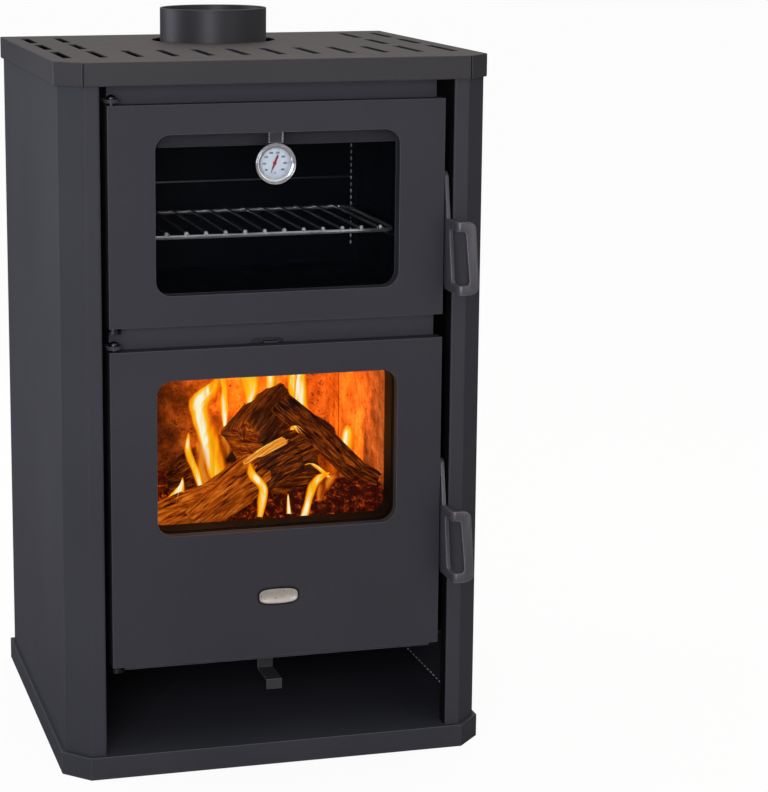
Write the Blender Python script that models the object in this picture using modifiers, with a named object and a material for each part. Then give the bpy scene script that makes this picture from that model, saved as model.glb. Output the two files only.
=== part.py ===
# Heating stove with a baking oven above the fire: a folded sheet casing round a welded steel body.
# Metres, +Z up. The doors face -Y. The origin is under the middle of the overall box, at floor level.
import math

import bmesh
import bpy
from mathutils import Matrix, Vector

# Casing: the visible sheet metal shell
TOP_WIDTH = 0.569
TOP_DEPTH = 0.505
TOP_HEIGHT = 0.931
TOP_CHAMFER = 0.032
RIM_HEIGHT = 0.030
TOP_SHEET = 0.0025
TOP_EDGE = 0.0012
CASING_INSET = 0.004
CASING_SHEET = 0.002
FOLD_RADIUS = 0.003
POST_WIDTH = 0.0535
POST_FACE_EDGE = TOP_WIDTH / 2 - POST_WIDTH
POST_RETURN = 0.022
PLINTH_HEIGHT = 0.030
PLINTH_PROUD = 0.0015
PLINTH_SHEET = 0.0025
PLINTH_LIP = 0.018
RIM_SEAM = 0.0008
REAR_PANEL_INSET = 0.004

# Slots in the top plate, measured back from its front edge
SLOT_WIDTH = 0.012
SLOT_COLUMNS = 12
SLOT_SIDE_MARGIN = 0.0271
SLOT_PITCH = (TOP_WIDTH - 2 * SLOT_SIDE_MARGIN) / (SLOT_COLUMNS - 1)
SLOT_SIDE_COLUMNS = 2
FRONT_SLOT = (0.079, TOP_DEPTH - 0.310)
MIDDLE_SLOT = (TOP_DEPTH - 0.274, TOP_DEPTH - 0.177)
BACK_SLOT = (TOP_DEPTH - 0.145, TOP_DEPTH - 0.047)

# Flue collar
FLUE_RADIUS = 0.075
FLUE_WALL = 0.003
FLUE_TO_REAR = 0.126
FLUE_BACK = TOP_DEPTH - FLUE_TO_REAR
FLUE_RISE = 0.045
FLUE_HOLE_CLEARANCE = 0.012
FLUE_FLANGE = 0.008

# Welded inner body
BODY_MARGIN = 0.014
BODY_HALF = POST_FACE_EDGE - BODY_MARGIN
BODY_FRONT = 0.035
BODY_TO_REAR = 0.034
BODY_BACK = TOP_DEPTH - BODY_TO_REAR
BODY_BOTTOM = 0.134
BODY_SHEET = 0.003

# Doors, both hung on the left
DOOR_MARGIN = 0.010
DOOR_HALF = POST_FACE_EDGE - DOOR_MARGIN
DOOR_FRONT = 0.010
DOOR_DEPTH = 0.020
DOOR_SHEET = 0.0025
DOOR_EDGE = 0.0015
OVEN_DOOR_DROP = 0.055
OVEN_DOOR_HEIGHT = 0.282
OVEN_DOOR_Z = (TOP_HEIGHT - OVEN_DOOR_DROP - OVEN_DOOR_HEIGHT, TOP_HEIGHT - OVEN_DOOR_DROP)
DOOR_SPACING = 0.031
FIRE_DOOR_Z = (0.146, OVEN_DOOR_Z[0] - DOOR_SPACING)
WINDOW_SIDE_FRAME = 0.0605
WINDOW_HALF = DOOR_HALF - WINDOW_SIDE_FRAME
WINDOW_RADIUS = 0.020
WINDOW_LIP = 0.0135
OVEN_WINDOW_Z = (OVEN_DOOR_Z[0] + 0.039, OVEN_DOOR_Z[1] - 0.038)
FIRE_WINDOW_Z = (0.3175, FIRE_DOOR_Z[1] - 0.040)
GLASS_THICK = 0.004
GLASS_OVERLAP = 0.012
LINER_INSET = 0.012
LINER_SHEET = 0.002
GASKET_WIDTH = 0.009
GASKET_MARGIN = 0.001
BOSS_RADIUS = 0.005
BOSS_INSET = 0.021
SCREW_HEAD_RADIUS = 0.0042
SCREW_HEAD_HEIGHT = 0.0022
SCREW_RADIUS = 0.002

# Hinges
HINGE_INSET = 0.007
HINGE_X = HINGE_INSET - DOOR_HALF
HINGE_BACK = 0.020
HINGE_PIN_RADIUS = 0.004
HINGE_LUG_RADIUS = 0.010
HINGE_LUG_THICK = 0.004
HINGE_LUG_GAP = 0.0035
HINGE_HEAD_RADIUS = 0.006
HINGE_HEAD_HEIGHT = 0.0055
HINGE_COLLAR_RADIUS = 0.008

# Latch handles: one folded plate each, turning on a pivot in the door's right edge
LATCH_OUTSET = 0.0042
LATCH_X = DOOR_HALF + LATCH_OUTSET
LATCH_PLATE = 0.005
LATCH_PIVOT_BACK = 0.022
OVEN_PIVOT_Z = OVEN_DOOR_Z[1] - 0.104
FIRE_PIVOT_Z = 0.389
LATCH_PIVOT_RADIUS = 0.0035
LATCH_EYE_RADIUS = 0.009
GRIP_TOP_DROP = 0.051
GRIP_BOTTOM_DROP = 0.1445
GRIP_FOLD_TOP = -0.034
GRIP_FOLD_BOTTOM = -0.044
GRIP_WIDTH = 0.023
GRIP_BAR = 0.013
GRIP_ARM = 0.012
GRIP_CORNER = 0.011
GRIP_FOLD_RADIUS = 0.004
FINGER_HOLE_IN_LEG = 0.026
KEEPER_BACK = 0.047
KEEPER_RADIUS = 0.004
KEEPER_RISE = 0.002
HOOK_NOSE = 0.005
KEEPER_LENGTH = 0.0125

# Oven
OVEN_SIDE_DUCT = 0.012
OVEN_HALF = BODY_HALF - OVEN_SIDE_DUCT
OVEN_Z = (OVEN_DOOR_Z[0] + 0.018, OVEN_DOOR_Z[1] - 0.044)
OVEN_REAR_DUCT = 0.129
OVEN_BACK = BODY_BACK - OVEN_REAR_DUCT
OVEN_SHEET = 0.002
OVEN_MOUTH_LIP = 0.022
OVEN_MOUTH_HALF = OVEN_HALF - OVEN_MOUTH_LIP
OVEN_MOUTH_Z = (OVEN_Z[0] + 0.014, OVEN_Z[1] - 0.0125)
OVEN_MOUTH_RADIUS = 0.012
RACK_SIDE_ROOM = 0.027
RACK_HALF = OVEN_HALF - RACK_SIDE_ROOM
RACK_FRONT = 0.085
RACK_REAR_ROOM = 0.032
RACK_DEPTH = OVEN_BACK - RACK_FRONT - RACK_REAR_ROOM
RACK_RAIL_Z = OVEN_Z[0] + 0.0845
RACK_RAIL_RADIUS = 0.003
RACK_WIRE_RADIUS = 0.002
RACK_WIRES = 13
RACK_END_ROOM = 0.0232
RACK_WIRE_PITCH = 2 * (RACK_HALF - RACK_END_ROOM) / (RACK_WIRES - 1)
RACK_CORNER = 0.018
RAIL_FLANGE = 0.040
RAIL_SHEET = 0.002
RAIL_UPSTAND = 0.016

# Thermometer, hung on the oven door inside the window
DIAL_X = -0.0035
DIAL_Z = OVEN_WINDOW_Z[1] - 0.0405
DIAL_FRONT = 0.0125
BEZEL_RADIUS = 0.0265
BEZEL_LIP = 0.0022
CASE_DEPTH = 0.0100
FACE_RADIUS = 0.0235
FACE_THICK = 0.0008
LENS_THICK = 0.0012
POINTER_ANGLE = 22.0
POINTER_REACH = 0.0115
POINTER_TAIL = 0.008
POINTER_WIDTH = 0.0022
POINTER_THICK = 0.0006
CLIP_HALF = 0.0095
CLIP_FLANGE = 0.004
CLIP_SHEET = 0.0008

# Fire chamber
MOUTH_TUNNEL_BACK = 0.066
MOUTH_TUNNEL_SHEET = 0.003
HEARTH_Z = 0.250
HEARTH_SHEET = 0.004
GRATE_HALF = (0.125, 0.105)
GRATE_BACK = 0.255
GRATE_THICK = 0.012
GRATE_BARS = 9
GRATE_SLOT = 0.008
GRATE_BORDER = 0.016
BRICK_THICK = 0.028
BRICK_TOP = OVEN_Z[0] - 0.072
BRICK_FRONT = 0.070
BAFFLE_THICK = 0.020
BAFFLE_FRONT = 0.130
EMBER_MARGIN = 0.014
EMBER_HEIGHT = 0.038
EMBER_BATTER = 0.018
LOG_RADIUS = 0.020
BLOCK_RADIUS = 0.031

# Ash pan
PAN_HALF = 0.120
PAN_FRONT = 0.050
PAN_DEPTH = 0.285
PAN_Z = (0.182, 0.236)
PAN_SHEET = 0.0015
PAN_HANDLE_HALF = 0.035
PAN_HANDLE_REACH = 0.010
PAN_HANDLE_RADIUS = 0.0025
ASH_MOUTH_MARGIN = 0.006

# Air controls
AIR_PULL_WIDTH = 0.0208
AIR_PULL_BACK = 0.080
AIR_PULL_FRONT = 0.031
AIR_PULL_Z = 0.1050
AIR_PULL_DROP = 0.0125
AIR_STRIP = 0.0025
AIR_PLATE_HALF = 0.045
AIR_PLATE_BACK = 0.150
AIR_GUIDE = (0.088, 0.172)
AIR_PORT = (0.130, 0.170)
AIR_PORT_HALF = 0.030
AIR_GUIDE_LIP = 0.008
WASH_HOLE_X = -0.009
WASH_HOLE_Z = FIRE_DOOR_Z[1] - 0.007
WASH_HOLE_HALF = 0.025
WASH_HOLE_RADIUS = 0.013
WASH_TAB_X = -0.006
WASH_TAB_HALF = 0.0095
WASH_TAB_Z = FIRE_DOOR_Z[1] + 0.0015
WASH_TAB_REACH = 0.009
WASH_PLATE_HALF = 0.050
WASH_PLATE_Z = (FIRE_DOOR_Z[1] - 0.027, FIRE_DOOR_Z[1] + 0.013)
WASH_PLATE_SHEET = 0.002
WASH_GUIDE_MORE = 0.020
WASH_GUIDE_LIP = 0.006
WASH_PORT_HALF = 0.014
WASH_PORT_Z = (FIRE_DOOR_Z[1] - 0.019, FIRE_DOOR_Z[1] - 0.0055)
WASH_PORT_STEP = 0.010

# Badge
BADGE_HALF = (0.028, 0.0122)
BADGE_Z = 0.2278
BADGE_THICK = 0.002

# Supports under the body
SUPPORT_LEG = 0.034
SUPPORT_REACH = 0.110
SUPPORT_FRONT = 0.090
SUPPORT_BACK = BODY_BACK - 0.031

GAP = 0.0003
PRESS_MARGIN = 0.010
ARC_STEPS = 6
ROUND_STEPS = 28

# Everything is set out back from the top plate's front edge. This puts the overall box's middle at Y = 0.
GRIP_FRONT = GRIP_FOLD_BOTTOM - LATCH_PLATE / 2
Y_SHIFT = -(GRIP_FRONT + TOP_DEPTH + PLINTH_PROUD) / 2

parts = bpy.data.collections.new("heating_stove")
helpers = bpy.data.collections.new("cutters")


def clear_scene():
    for obj in list(bpy.data.objects):
        bpy.data.objects.remove(obj, do_unlink=True)
    bpy.context.scene.collection.children.link(parts)
    bpy.context.scene.collection.children.link(helpers)
    helpers.hide_render = True


def back(distance):
    """Y of a plane that lies this far behind the top plate's front edge."""
    return distance + Y_SHIFT


def material(name, colour, roughness, metallic=0.0, alpha=1.0):
    made = bpy.data.materials.new(name)
    made.use_nodes = True
    shader = made.node_tree.nodes["Principled BSDF"]
    shader.inputs["Base Color"].default_value = (*colour, 1.0)
    shader.inputs["Roughness"].default_value = roughness
    shader.inputs["Metallic"].default_value = metallic
    shader.inputs["Alpha"].default_value = alpha
    return made


PAINT = material("black_stove_paint", (0.045, 0.046, 0.050), 0.55, 0.2)
BODY_STEEL = material("body_steel", (0.030, 0.030, 0.032), 0.7, 0.3)
ENAMEL = material("oven_enamel", (0.012, 0.013, 0.016), 0.35)
CAST_IRON = material("cast_iron", (0.035, 0.034, 0.033), 0.8, 0.4)
FIREBRICK = material("firebrick", (0.55, 0.36, 0.20), 0.95)
CHARRED_WOOD = material("charred_wood", (0.06, 0.04, 0.03), 0.9)
CHROME = material("chrome", (0.75, 0.75, 0.75), 0.15, 1.0)
DIAL_WHITE = material("dial_white", (0.72, 0.80, 0.84), 0.5)
POINTER_RED = material("pointer_red", (0.55, 0.03, 0.03), 0.5)
GLASS = material("stove_glass", (0.05, 0.05, 0.05), 0.05, 0.0, 0.25)
ROPE = material("glass_fibre_rope", (0.12, 0.12, 0.12), 0.95)
PLATE_METAL = material("nickel_plate", (0.55, 0.53, 0.48), 0.3, 1.0)
ZINC = material("zinc_steel", (0.45, 0.45, 0.46), 0.4, 1.0)


def add_object(name, mesh, finish=None, helper=False):
    obj = bpy.data.objects.new(name, mesh)
    (helpers if helper else parts).objects.link(obj)
    if finish:
        mesh.materials.append(finish)
    if helper:
        obj.hide_render = True
        obj.display_type = "WIRE"
    return obj


def box(name, low, high, finish=None, helper=False):
    mesh = bpy.data.meshes.new(name)
    bm = bmesh.new()
    size = Vector(high) - Vector(low)
    middle = (Vector(high) + Vector(low)) / 2
    bmesh.ops.create_cube(bm, size=1.0, matrix=Matrix.Translation(middle) @ Matrix.Diagonal((*size, 1.0)))
    bm.to_mesh(mesh)
    bm.free()
    return add_object(name, mesh, finish, helper)


def rod(name, start, end, radius, finish=None, helper=False, sides=16):
    mesh = bpy.data.meshes.new(name)
    start, end = Vector(start), Vector(end)
    turn = Vector((0, 0, 1)).rotation_difference(end - start).to_matrix().to_4x4()
    place = Matrix.Translation((start + end) / 2) @ turn
    bm = bmesh.new()
    bmesh.ops.create_cone(
        bm,
        cap_ends=True,
        segments=sides,
        radius1=radius,
        radius2=radius,
        depth=(end - start).length,
        matrix=place,
    )
    bm.to_mesh(mesh)
    bm.free()
    obj = add_object(name, mesh, finish, helper)
    shade_round(obj)
    return obj


def shade_round(obj):
    obj.data.shade_smooth()
    obj.data.set_sharp_from_angle(angle=math.radians(35))


def arc(centre, radius, start_degrees, end_degrees, steps=ARC_STEPS):
    points = []
    for i in range(steps + 1):
        a = math.radians(start_degrees + (end_degrees - start_degrees) * i / steps)
        points.append((centre[0] + radius * math.cos(a), centre[1] + radius * math.sin(a)))
    return points


def rounded_rectangle(low, high, radius):
    (x0, y0), (x1, y1) = low, high
    return (
        arc((x1 - radius, y0 + radius), radius, -90, 0)
        + arc((x1 - radius, y1 - radius), radius, 0, 90)
        + arc((x0 + radius, y1 - radius), radius, 90, 180)
        + arc((x0 + radius, y0 + radius), radius, 180, 270)
    )


def circle(centre, radius, steps=ROUND_STEPS):
    return arc(centre, radius, 0, 360 - 360 / steps, steps - 1)


def rectangle(low, high):
    return [low, (high[0], low[1]), high, (low[0], high[1])]


PLANE_TURN = {
    "XY": (0, 0, 0),
    "XZ": (math.pi / 2, 0, 0),
    "YZ": (math.pi / 2, 0, math.pi / 2),
}


def flat(name, outlines, plane, low, high, finish=None, helper=False):
    """A flat plate: closed outlines in a plane, the inner ones holes, thick from low to high across it."""
    curve = bpy.data.curves.new(name + "_outline", "CURVE")
    curve.dimensions = "2D"
    curve.fill_mode = "BOTH"
    curve.extrude = (high - low) / 2
    for outline in outlines:
        spline = curve.splines.new("POLY")
        spline.points.add(len(outline) - 1)
        for point, (a, b) in zip(spline.points, outline):
            point.co = (a, b, 0, 1)
        spline.use_cyclic_u = True
    guide = bpy.data.objects.new(name + "_outline", curve)
    helpers.objects.link(guide)
    middle = (low + high) / 2
    guide.location = {"XY": (0, 0, middle), "XZ": (0, middle, 0), "YZ": (middle, 0, 0)}[plane]
    guide.rotation_euler = PLANE_TURN[plane]
    bpy.context.view_layer.update()
    mesh = bpy.data.meshes.new_from_object(guide.evaluated_get(bpy.context.evaluated_depsgraph_get()))
    mesh.transform(guide.matrix_world)
    weld(mesh)
    bpy.data.objects.remove(guide)
    mesh.name = name
    return add_object(name, mesh, finish, helper)


def weld(mesh):
    bm = bmesh.new()
    bm.from_mesh(mesh)
    bmesh.ops.remove_doubles(bm, verts=bm.verts, dist=0.000005)
    bmesh.ops.recalc_face_normals(bm, faces=bm.faces)
    bm.to_mesh(mesh)
    bm.free()


def rounded_path(points, radius, steps=3):
    """The path with each inner corner replaced by a fold of this radius."""
    if not radius:
        return points
    path = [points[0]]
    for before, corner, after in zip(points, points[1:], points[2:]):
        at = Vector(corner)
        back_way, on_way = (Vector(before) - at).normalized(), (Vector(after) - at).normalized()
        half_angle = back_way.angle(on_way) / 2
        reach = radius / math.tan(half_angle)
        centre = at + (back_way + on_way).normalized() * (radius / math.sin(half_angle))
        start, end = at + back_way * reach - centre, at + on_way * reach - centre
        swing = start.angle_signed(end)
        for i in range(steps + 1):
            turn = -swing * i / steps
            spoke = Vector(
                (
                    start.x * math.cos(turn) - start.y * math.sin(turn),
                    start.x * math.sin(turn) + start.y * math.cos(turn),
                )
            )
            path.append(tuple(centre + spoke))
    return path + [points[-1]]


def offset_left(path, distance):
    """The path moved to its own left, with mitred corners."""
    points = [Vector(p) for p in path]
    ways = [(b - a).normalized() for a, b in zip(points, points[1:])]
    lefts = [Vector((-w.y, w.x)) for w in ways]
    moved = [points[0] + lefts[0] * distance]
    for point, one, two in zip(points[1:-1], lefts, lefts[1:]):
        middle = (one + two).normalized()
        moved.append(point + middle * (distance / middle.dot(one)))
    moved.append(points[-1] + lefts[-1] * distance)
    return [tuple(p) for p in moved]


def folded_sheet(name, profile, plane, low, high, thickness, finish, side=1.0, fold=0.0, helper=False):
    """A sheet folded along a profile in a plane, running from low to high across it.

    Its thickness lies to the left of the profile's own direction, or to the right where side is -1.
    """
    path = rounded_path(profile, fold)
    if side == 0:
        outer, inner = offset_left(path, thickness / 2), offset_left(path, -thickness / 2)
    else:
        outer, inner = list(path), offset_left(path, side * thickness)
    return flat(name, [outer + inner[::-1]], plane, low, high, finish, helper)


def turned(name, profile, place, finish, steps=ROUND_STEPS, closed=False, axis="Z"):
    """A turned piece: (radius, height) points down its outer side, spun about an axis through place."""
    mesh = bpy.data.meshes.new(name)
    bm = bmesh.new()
    corners = [bm.verts.new((r, 0, h)) for r, h in profile]
    for pair in zip(corners, corners[1:]):
        bm.edges.new(pair)
    if closed:
        bm.edges.new((corners[-1], corners[0]))
    bm.to_mesh(mesh)
    bm.free()
    obj = add_object(name, mesh, finish)
    obj.location = place
    quarter = math.pi / 2
    turns = {"Z": (0, 0, 0), "-Y": (quarter, 0, 0), "Y": (-quarter, 0, 0), "X": (0, quarter, 0)}
    obj.rotation_euler = turns[axis]
    spin = obj.modifiers.new("turn", "SCREW")
    spin.steps = steps
    spin.render_steps = steps
    spin.use_merge_vertices = True
    spin.merge_threshold = 0.00005
    return obj


def boolean(obj, other, operation):
    step = obj.modifiers.new(operation.lower() + "_" + other.name, "BOOLEAN")
    step.operation = operation
    step.object = other


def cut(obj, *others):
    for other in others:
        boolean(obj, other, "DIFFERENCE")


def join(obj, *others):
    for other in others:
        boolean(obj, other, "UNION")


def soften(obj, width, segments=2, angle=40):
    step = obj.modifiers.new("soft_edges", "BEVEL")
    step.width = width
    step.segments = segments
    step.limit_method = "ANGLE"
    step.angle_limit = math.radians(angle)
    step.use_clamp_overlap = True


def joint_empty(name, place):
    empty = bpy.data.objects.new(name, None)
    empty.location = place
    empty.empty_display_size = 0.02
    parts.objects.link(empty)
    bpy.context.view_layer.update()
    return empty


def carry(empty, *objects):
    """Parents pieces to the empty on their joint's axis and leaves them where they are."""
    for obj in objects:
        obj.parent = empty
        obj.matrix_parent_inverse = empty.matrix_world.inverted()


def chamfered_outline(half, front, rear, chamfer):
    """Plan of a plate with its two front corners cut off at 45 degrees."""
    return [
        (-half + chamfer, front),
        (half - chamfer, front),
        (half, front + chamfer),
        (half, rear),
        (-half, rear),
        (-half, front + chamfer),
    ]


def inset_chamfer(chamfer, inset):
    """Length of the cut-off corner after every side moves in by the same inset."""
    return chamfer + inset * (math.sqrt(2) - 2)


def casing_plan(inset):
    half = TOP_WIDTH / 2 - inset
    return chamfered_outline(half, back(inset), back(TOP_DEPTH - inset), inset_chamfer(TOP_CHAMFER, inset))


def make_plinth():
    half = TOP_WIDTH / 2 + PLINTH_PROUD
    chamfer = inset_chamfer(TOP_CHAMFER, -PLINTH_PROUD)
    front, rear = back(-PLINTH_PROUD), back(TOP_DEPTH + PLINTH_PROUD)
    outline = chamfered_outline(half, front, rear, chamfer)
    plinth = flat("base_plinth", [outline], "XY", 0, PLINTH_HEIGHT, PAINT)

    def shrunk(inset):
        return chamfered_outline(half - inset, front + inset, rear - inset, inset_chamfer(chamfer, inset))

    low, high = PLINTH_SHEET, PLINTH_HEIGHT - PLINTH_SHEET
    hollow = flat("plinth_hollow", [shrunk(PLINTH_SHEET)], "XY", low, high, helper=True)
    low, high = -PRESS_MARGIN, PLINTH_SHEET + PRESS_MARGIN
    mouth = flat("plinth_mouth", [shrunk(PLINTH_LIP)], "XY", low, high, helper=True)
    join(hollow, mouth)
    cut(plinth, hollow)
    return plinth


def make_side_panel(side, name):
    """Side, chamfer, door post face and its return, folded from one sheet. Side is -1 on the left."""
    half = TOP_WIDTH / 2 - CASING_INSET
    chamfer = inset_chamfer(TOP_CHAMFER, CASING_INSET)
    front = back(CASING_INSET)
    rear = back(TOP_DEPTH - REAR_PANEL_INSET)
    profile = [
        (side * half, rear),
        (side * half, front + chamfer),
        (side * (half - chamfer), front),
        (side * POST_FACE_EDGE, front),
        (side * POST_FACE_EDGE, front + POST_RETURN),
    ]
    top = TOP_HEIGHT - TOP_SHEET - GAP
    return folded_sheet(
        name, profile, "XY", PLINTH_HEIGHT + GAP, top, CASING_SHEET, PAINT, side=-side, fold=FOLD_RADIUS
    )


def make_top_plate():
    half = TOP_WIDTH / 2
    plate = flat("top_plate", [casing_plan(0)], "XY", TOP_HEIGHT - RIM_HEIGHT, TOP_HEIGHT, PAINT)
    soften(plate, TOP_EDGE, 2, 30)
    hollow = flat(
        "top_hollow",
        [casing_plan(TOP_SHEET)],
        "XY",
        TOP_HEIGHT - RIM_HEIGHT - PRESS_MARGIN,
        TOP_HEIGHT - TOP_SHEET,
        helper=True,
    )
    cut(plate, hollow)
    slots = []
    for column in range(SLOT_COLUMNS):
        x = (column - (SLOT_COLUMNS - 1) / 2) * SLOT_PITCH
        edge_column = min(column, SLOT_COLUMNS - 1 - column) < SLOT_SIDE_COLUMNS
        for near, far in (FRONT_SLOT, MIDDLE_SLOT, BACK_SLOT) if edge_column else (FRONT_SLOT,):
            slots.append(((x - SLOT_WIDTH / 2, back(near)), (x + SLOT_WIDTH / 2, back(far))))
    below, above = TOP_HEIGHT - TOP_SHEET - PRESS_MARGIN, TOP_HEIGHT + PRESS_MARGIN
    cut(plate, flat("top_slots", [rectangle(*slot) for slot in slots], "XY", below, above, helper=True))
    hole = circle((0, back(FLUE_BACK)), FLUE_RADIUS + FLUE_HOLE_CLEARANCE, 40)
    cut(plate, flat("top_flue_hole", [hole], "XY", below, above, helper=True))
    for side, word in ((-1, "left"), (1, "right")):
        x = side * (half - TOP_CHAMFER)
        low = (x - RIM_SEAM / 2, back(0) - PRESS_MARGIN, TOP_HEIGHT - RIM_HEIGHT - PRESS_MARGIN)
        high = (x + RIM_SEAM / 2, back(TOP_SHEET) + PRESS_MARGIN, TOP_HEIGHT - TOP_SHEET * 0.8)
        cut(plate, box("rim_seam_" + word, low, high, helper=True))
    return plate


def make_rear_panel():
    inner = TOP_WIDTH / 2 - CASING_INSET - CASING_SHEET - GAP
    rear = back(TOP_DEPTH - REAR_PANEL_INSET)
    low = (-inner, rear - CASING_SHEET, PLINTH_HEIGHT + GAP)
    high = (inner, rear, TOP_HEIGHT - TOP_SHEET - GAP)
    return box("rear_panel", low, high, PAINT)


def make_supports():
    """Angles on the side panels that carry the body and leave the log niche open between them."""
    wall = TOP_WIDTH / 2 - CASING_INSET - CASING_SHEET - GAP
    top = BODY_BOTTOM - GAP
    for side, word in ((-1, "left"), (1, "right")):
        profile = [
            (side * wall, top - SUPPORT_LEG),
            (side * wall, top),
            (side * (wall - SUPPORT_REACH), top),
        ]
        folded_sheet(
            "support_angle_" + word,
            profile,
            "XZ",
            back(SUPPORT_FRONT),
            back(SUPPORT_BACK),
            BODY_SHEET,
            BODY_STEEL,
            side,
        )


def make_front_plate():
    top = TOP_HEIGHT - RIM_HEIGHT
    outline = rectangle((-BODY_HALF, BODY_BOTTOM), (BODY_HALF, top))
    oven_mouth = rounded_rectangle(
        (-OVEN_MOUTH_HALF, OVEN_MOUTH_Z[0]), (OVEN_MOUTH_HALF, OVEN_MOUTH_Z[1]), OVEN_MOUTH_RADIUS
    )
    reach = WINDOW_HALF + MOUTH_TUNNEL_SHEET + GAP
    fire_mouth = rounded_rectangle(
        (-reach, FIRE_WINDOW_Z[0] - MOUTH_TUNNEL_SHEET - GAP),
        (reach, FIRE_WINDOW_Z[1] + MOUTH_TUNNEL_SHEET + GAP),
        WINDOW_RADIUS,
    )
    ash_mouth = rectangle(
        (-PAN_HALF - ASH_MOUTH_MARGIN, PAN_Z[0] - ASH_MOUTH_MARGIN),
        (PAN_HALF + ASH_MOUTH_MARGIN, PAN_Z[1] + ASH_MOUTH_MARGIN),
    )
    wash_hole = rounded_rectangle(
        (WASH_HOLE_X - WASH_HOLE_HALF, WASH_HOLE_Z - WASH_HOLE_RADIUS),
        (WASH_HOLE_X + WASH_HOLE_HALF, WASH_HOLE_Z + WASH_HOLE_RADIUS),
        WASH_HOLE_RADIUS * 0.999,
    )
    holes = [oven_mouth, fire_mouth, ash_mouth, wash_hole]
    return flat(
        "front_plate", [outline, *holes], "XZ", back(BODY_FRONT), back(BODY_FRONT + BODY_SHEET), BODY_STEEL
    )


def make_body():
    """The welded smoke-tight box behind the front plate, open at the front."""
    front = back(BODY_FRONT + BODY_SHEET + GAP)
    rear = back(BODY_BACK)
    roof = TOP_HEIGHT - RIM_HEIGHT
    shell = box("body_shell", (-BODY_HALF, front, BODY_BOTTOM), (BODY_HALF, rear, roof), BODY_STEEL)
    inner = BODY_HALF - BODY_SHEET
    low = (-inner, front - PRESS_MARGIN, BODY_BOTTOM + BODY_SHEET)
    high = (inner, rear - BODY_SHEET, roof - BODY_SHEET)
    port_low = (-AIR_PORT_HALF, back(AIR_PORT[0]), BODY_BOTTOM - PRESS_MARGIN)
    port_high = (AIR_PORT_HALF, back(AIR_PORT[1]), BODY_BOTTOM + BODY_SHEET + PRESS_MARGIN)
    port = box("air_port", port_low, port_high, helper=True)
    flue = rod(
        "flue_port",
        (0, back(FLUE_BACK), roof - BODY_SHEET - PRESS_MARGIN),
        (0, back(FLUE_BACK), roof + PRESS_MARGIN),
        FLUE_RADIUS - FLUE_WALL,
        helper=True,
        sides=40,
    )
    cut(shell, box("body_inside", low, high, helper=True), port, flue)


def make_flue_collar():
    foot = TOP_HEIGHT - RIM_HEIGHT + GAP
    top = TOP_HEIGHT + FLUE_RISE - foot
    inner = FLUE_RADIUS - FLUE_WALL
    profile = [
        (inner, top),
        (FLUE_RADIUS, top),
        (FLUE_RADIUS, BODY_SHEET),
        (FLUE_RADIUS + FLUE_FLANGE, BODY_SHEET),
        (FLUE_RADIUS + FLUE_FLANGE, 0),
        (inner, 0),
    ]
    collar = turned("flue_collar", profile, (0, back(FLUE_BACK), foot), PAINT, steps=40, closed=True)
    return collar


def make_oven():
    front = back(BODY_FRONT + BODY_SHEET + GAP)
    rear = back(OVEN_BACK)
    shell = box(
        "oven_box",
        (-OVEN_HALF - OVEN_SHEET, front, OVEN_Z[0] - OVEN_SHEET),
        (OVEN_HALF + OVEN_SHEET, rear + OVEN_SHEET, OVEN_Z[1] + OVEN_SHEET),
        ENAMEL,
    )
    low, high = (-OVEN_HALF, front - PRESS_MARGIN, OVEN_Z[0]), (OVEN_HALF, rear, OVEN_Z[1])
    inside = box("oven_inside", low, high, helper=True)
    cut(shell, inside)
    seat = RACK_RAIL_Z - RACK_RAIL_RADIUS - GAP - RAIL_SHEET
    for side, word in ((-1, "left"), (1, "right")):
        wall = OVEN_HALF - GAP
        profile = [
            (side * wall, seat + RAIL_UPSTAND),
            (side * wall, seat),
            (side * (wall - RAIL_FLANGE), seat),
        ]
        folded_sheet(
            "rack_rail_" + word, profile, "XZ", front + PRESS_MARGIN, rear - GAP, RAIL_SHEET, ENAMEL, -side
        )


def tube_loop(name, points, radius, finish, plane_z):
    """A closed wire through points in a level plane."""
    curve = bpy.data.curves.new(name + "_line", "CURVE")
    curve.dimensions = "3D"
    curve.bevel_depth = radius
    curve.bevel_resolution = 1
    spline = curve.splines.new("POLY")
    spline.points.add(len(points) - 1)
    for point, (x, y) in zip(spline.points, points):
        point.co = (x, y, plane_z, 1)
    spline.use_cyclic_u = True
    guide = bpy.data.objects.new(name + "_line", curve)
    helpers.objects.link(guide)
    bpy.context.view_layer.update()
    mesh = bpy.data.meshes.new_from_object(guide.evaluated_get(bpy.context.evaluated_depsgraph_get()))
    weld(mesh)
    bpy.data.objects.remove(guide)
    obj = add_object(name, mesh, finish)
    shade_round(obj)
    return obj


def make_rack():
    front, rear = back(RACK_FRONT), back(RACK_FRONT + RACK_DEPTH)
    loop = rounded_rectangle((-RACK_HALF, front), (RACK_HALF, rear), RACK_CORNER)
    rack = tube_loop("oven_rack", loop, RACK_RAIL_RADIUS, CHROME, RACK_RAIL_Z)
    wire_z = RACK_RAIL_Z + RACK_RAIL_RADIUS + RACK_WIRE_RADIUS * 0.5
    for i in range(RACK_WIRES):
        x = (i - (RACK_WIRES - 1) / 2) * RACK_WIRE_PITCH
        start = (x, front - RACK_RAIL_RADIUS, wire_z)
        end = (x, rear + RACK_RAIL_RADIUS, wire_z)
        join(rack, rod(f"rack_wire_{i}", start, end, RACK_WIRE_RADIUS, helper=True, sides=8))
    carry(joint_empty("oven_rack_slide", (0, front, RACK_RAIL_Z)), rack)


def window_outline(window_z, grow, radius):
    return rounded_rectangle(
        (-WINDOW_HALF - grow, window_z[0] - grow), (WINDOW_HALF + grow, window_z[1] + grow), radius
    )


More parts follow.
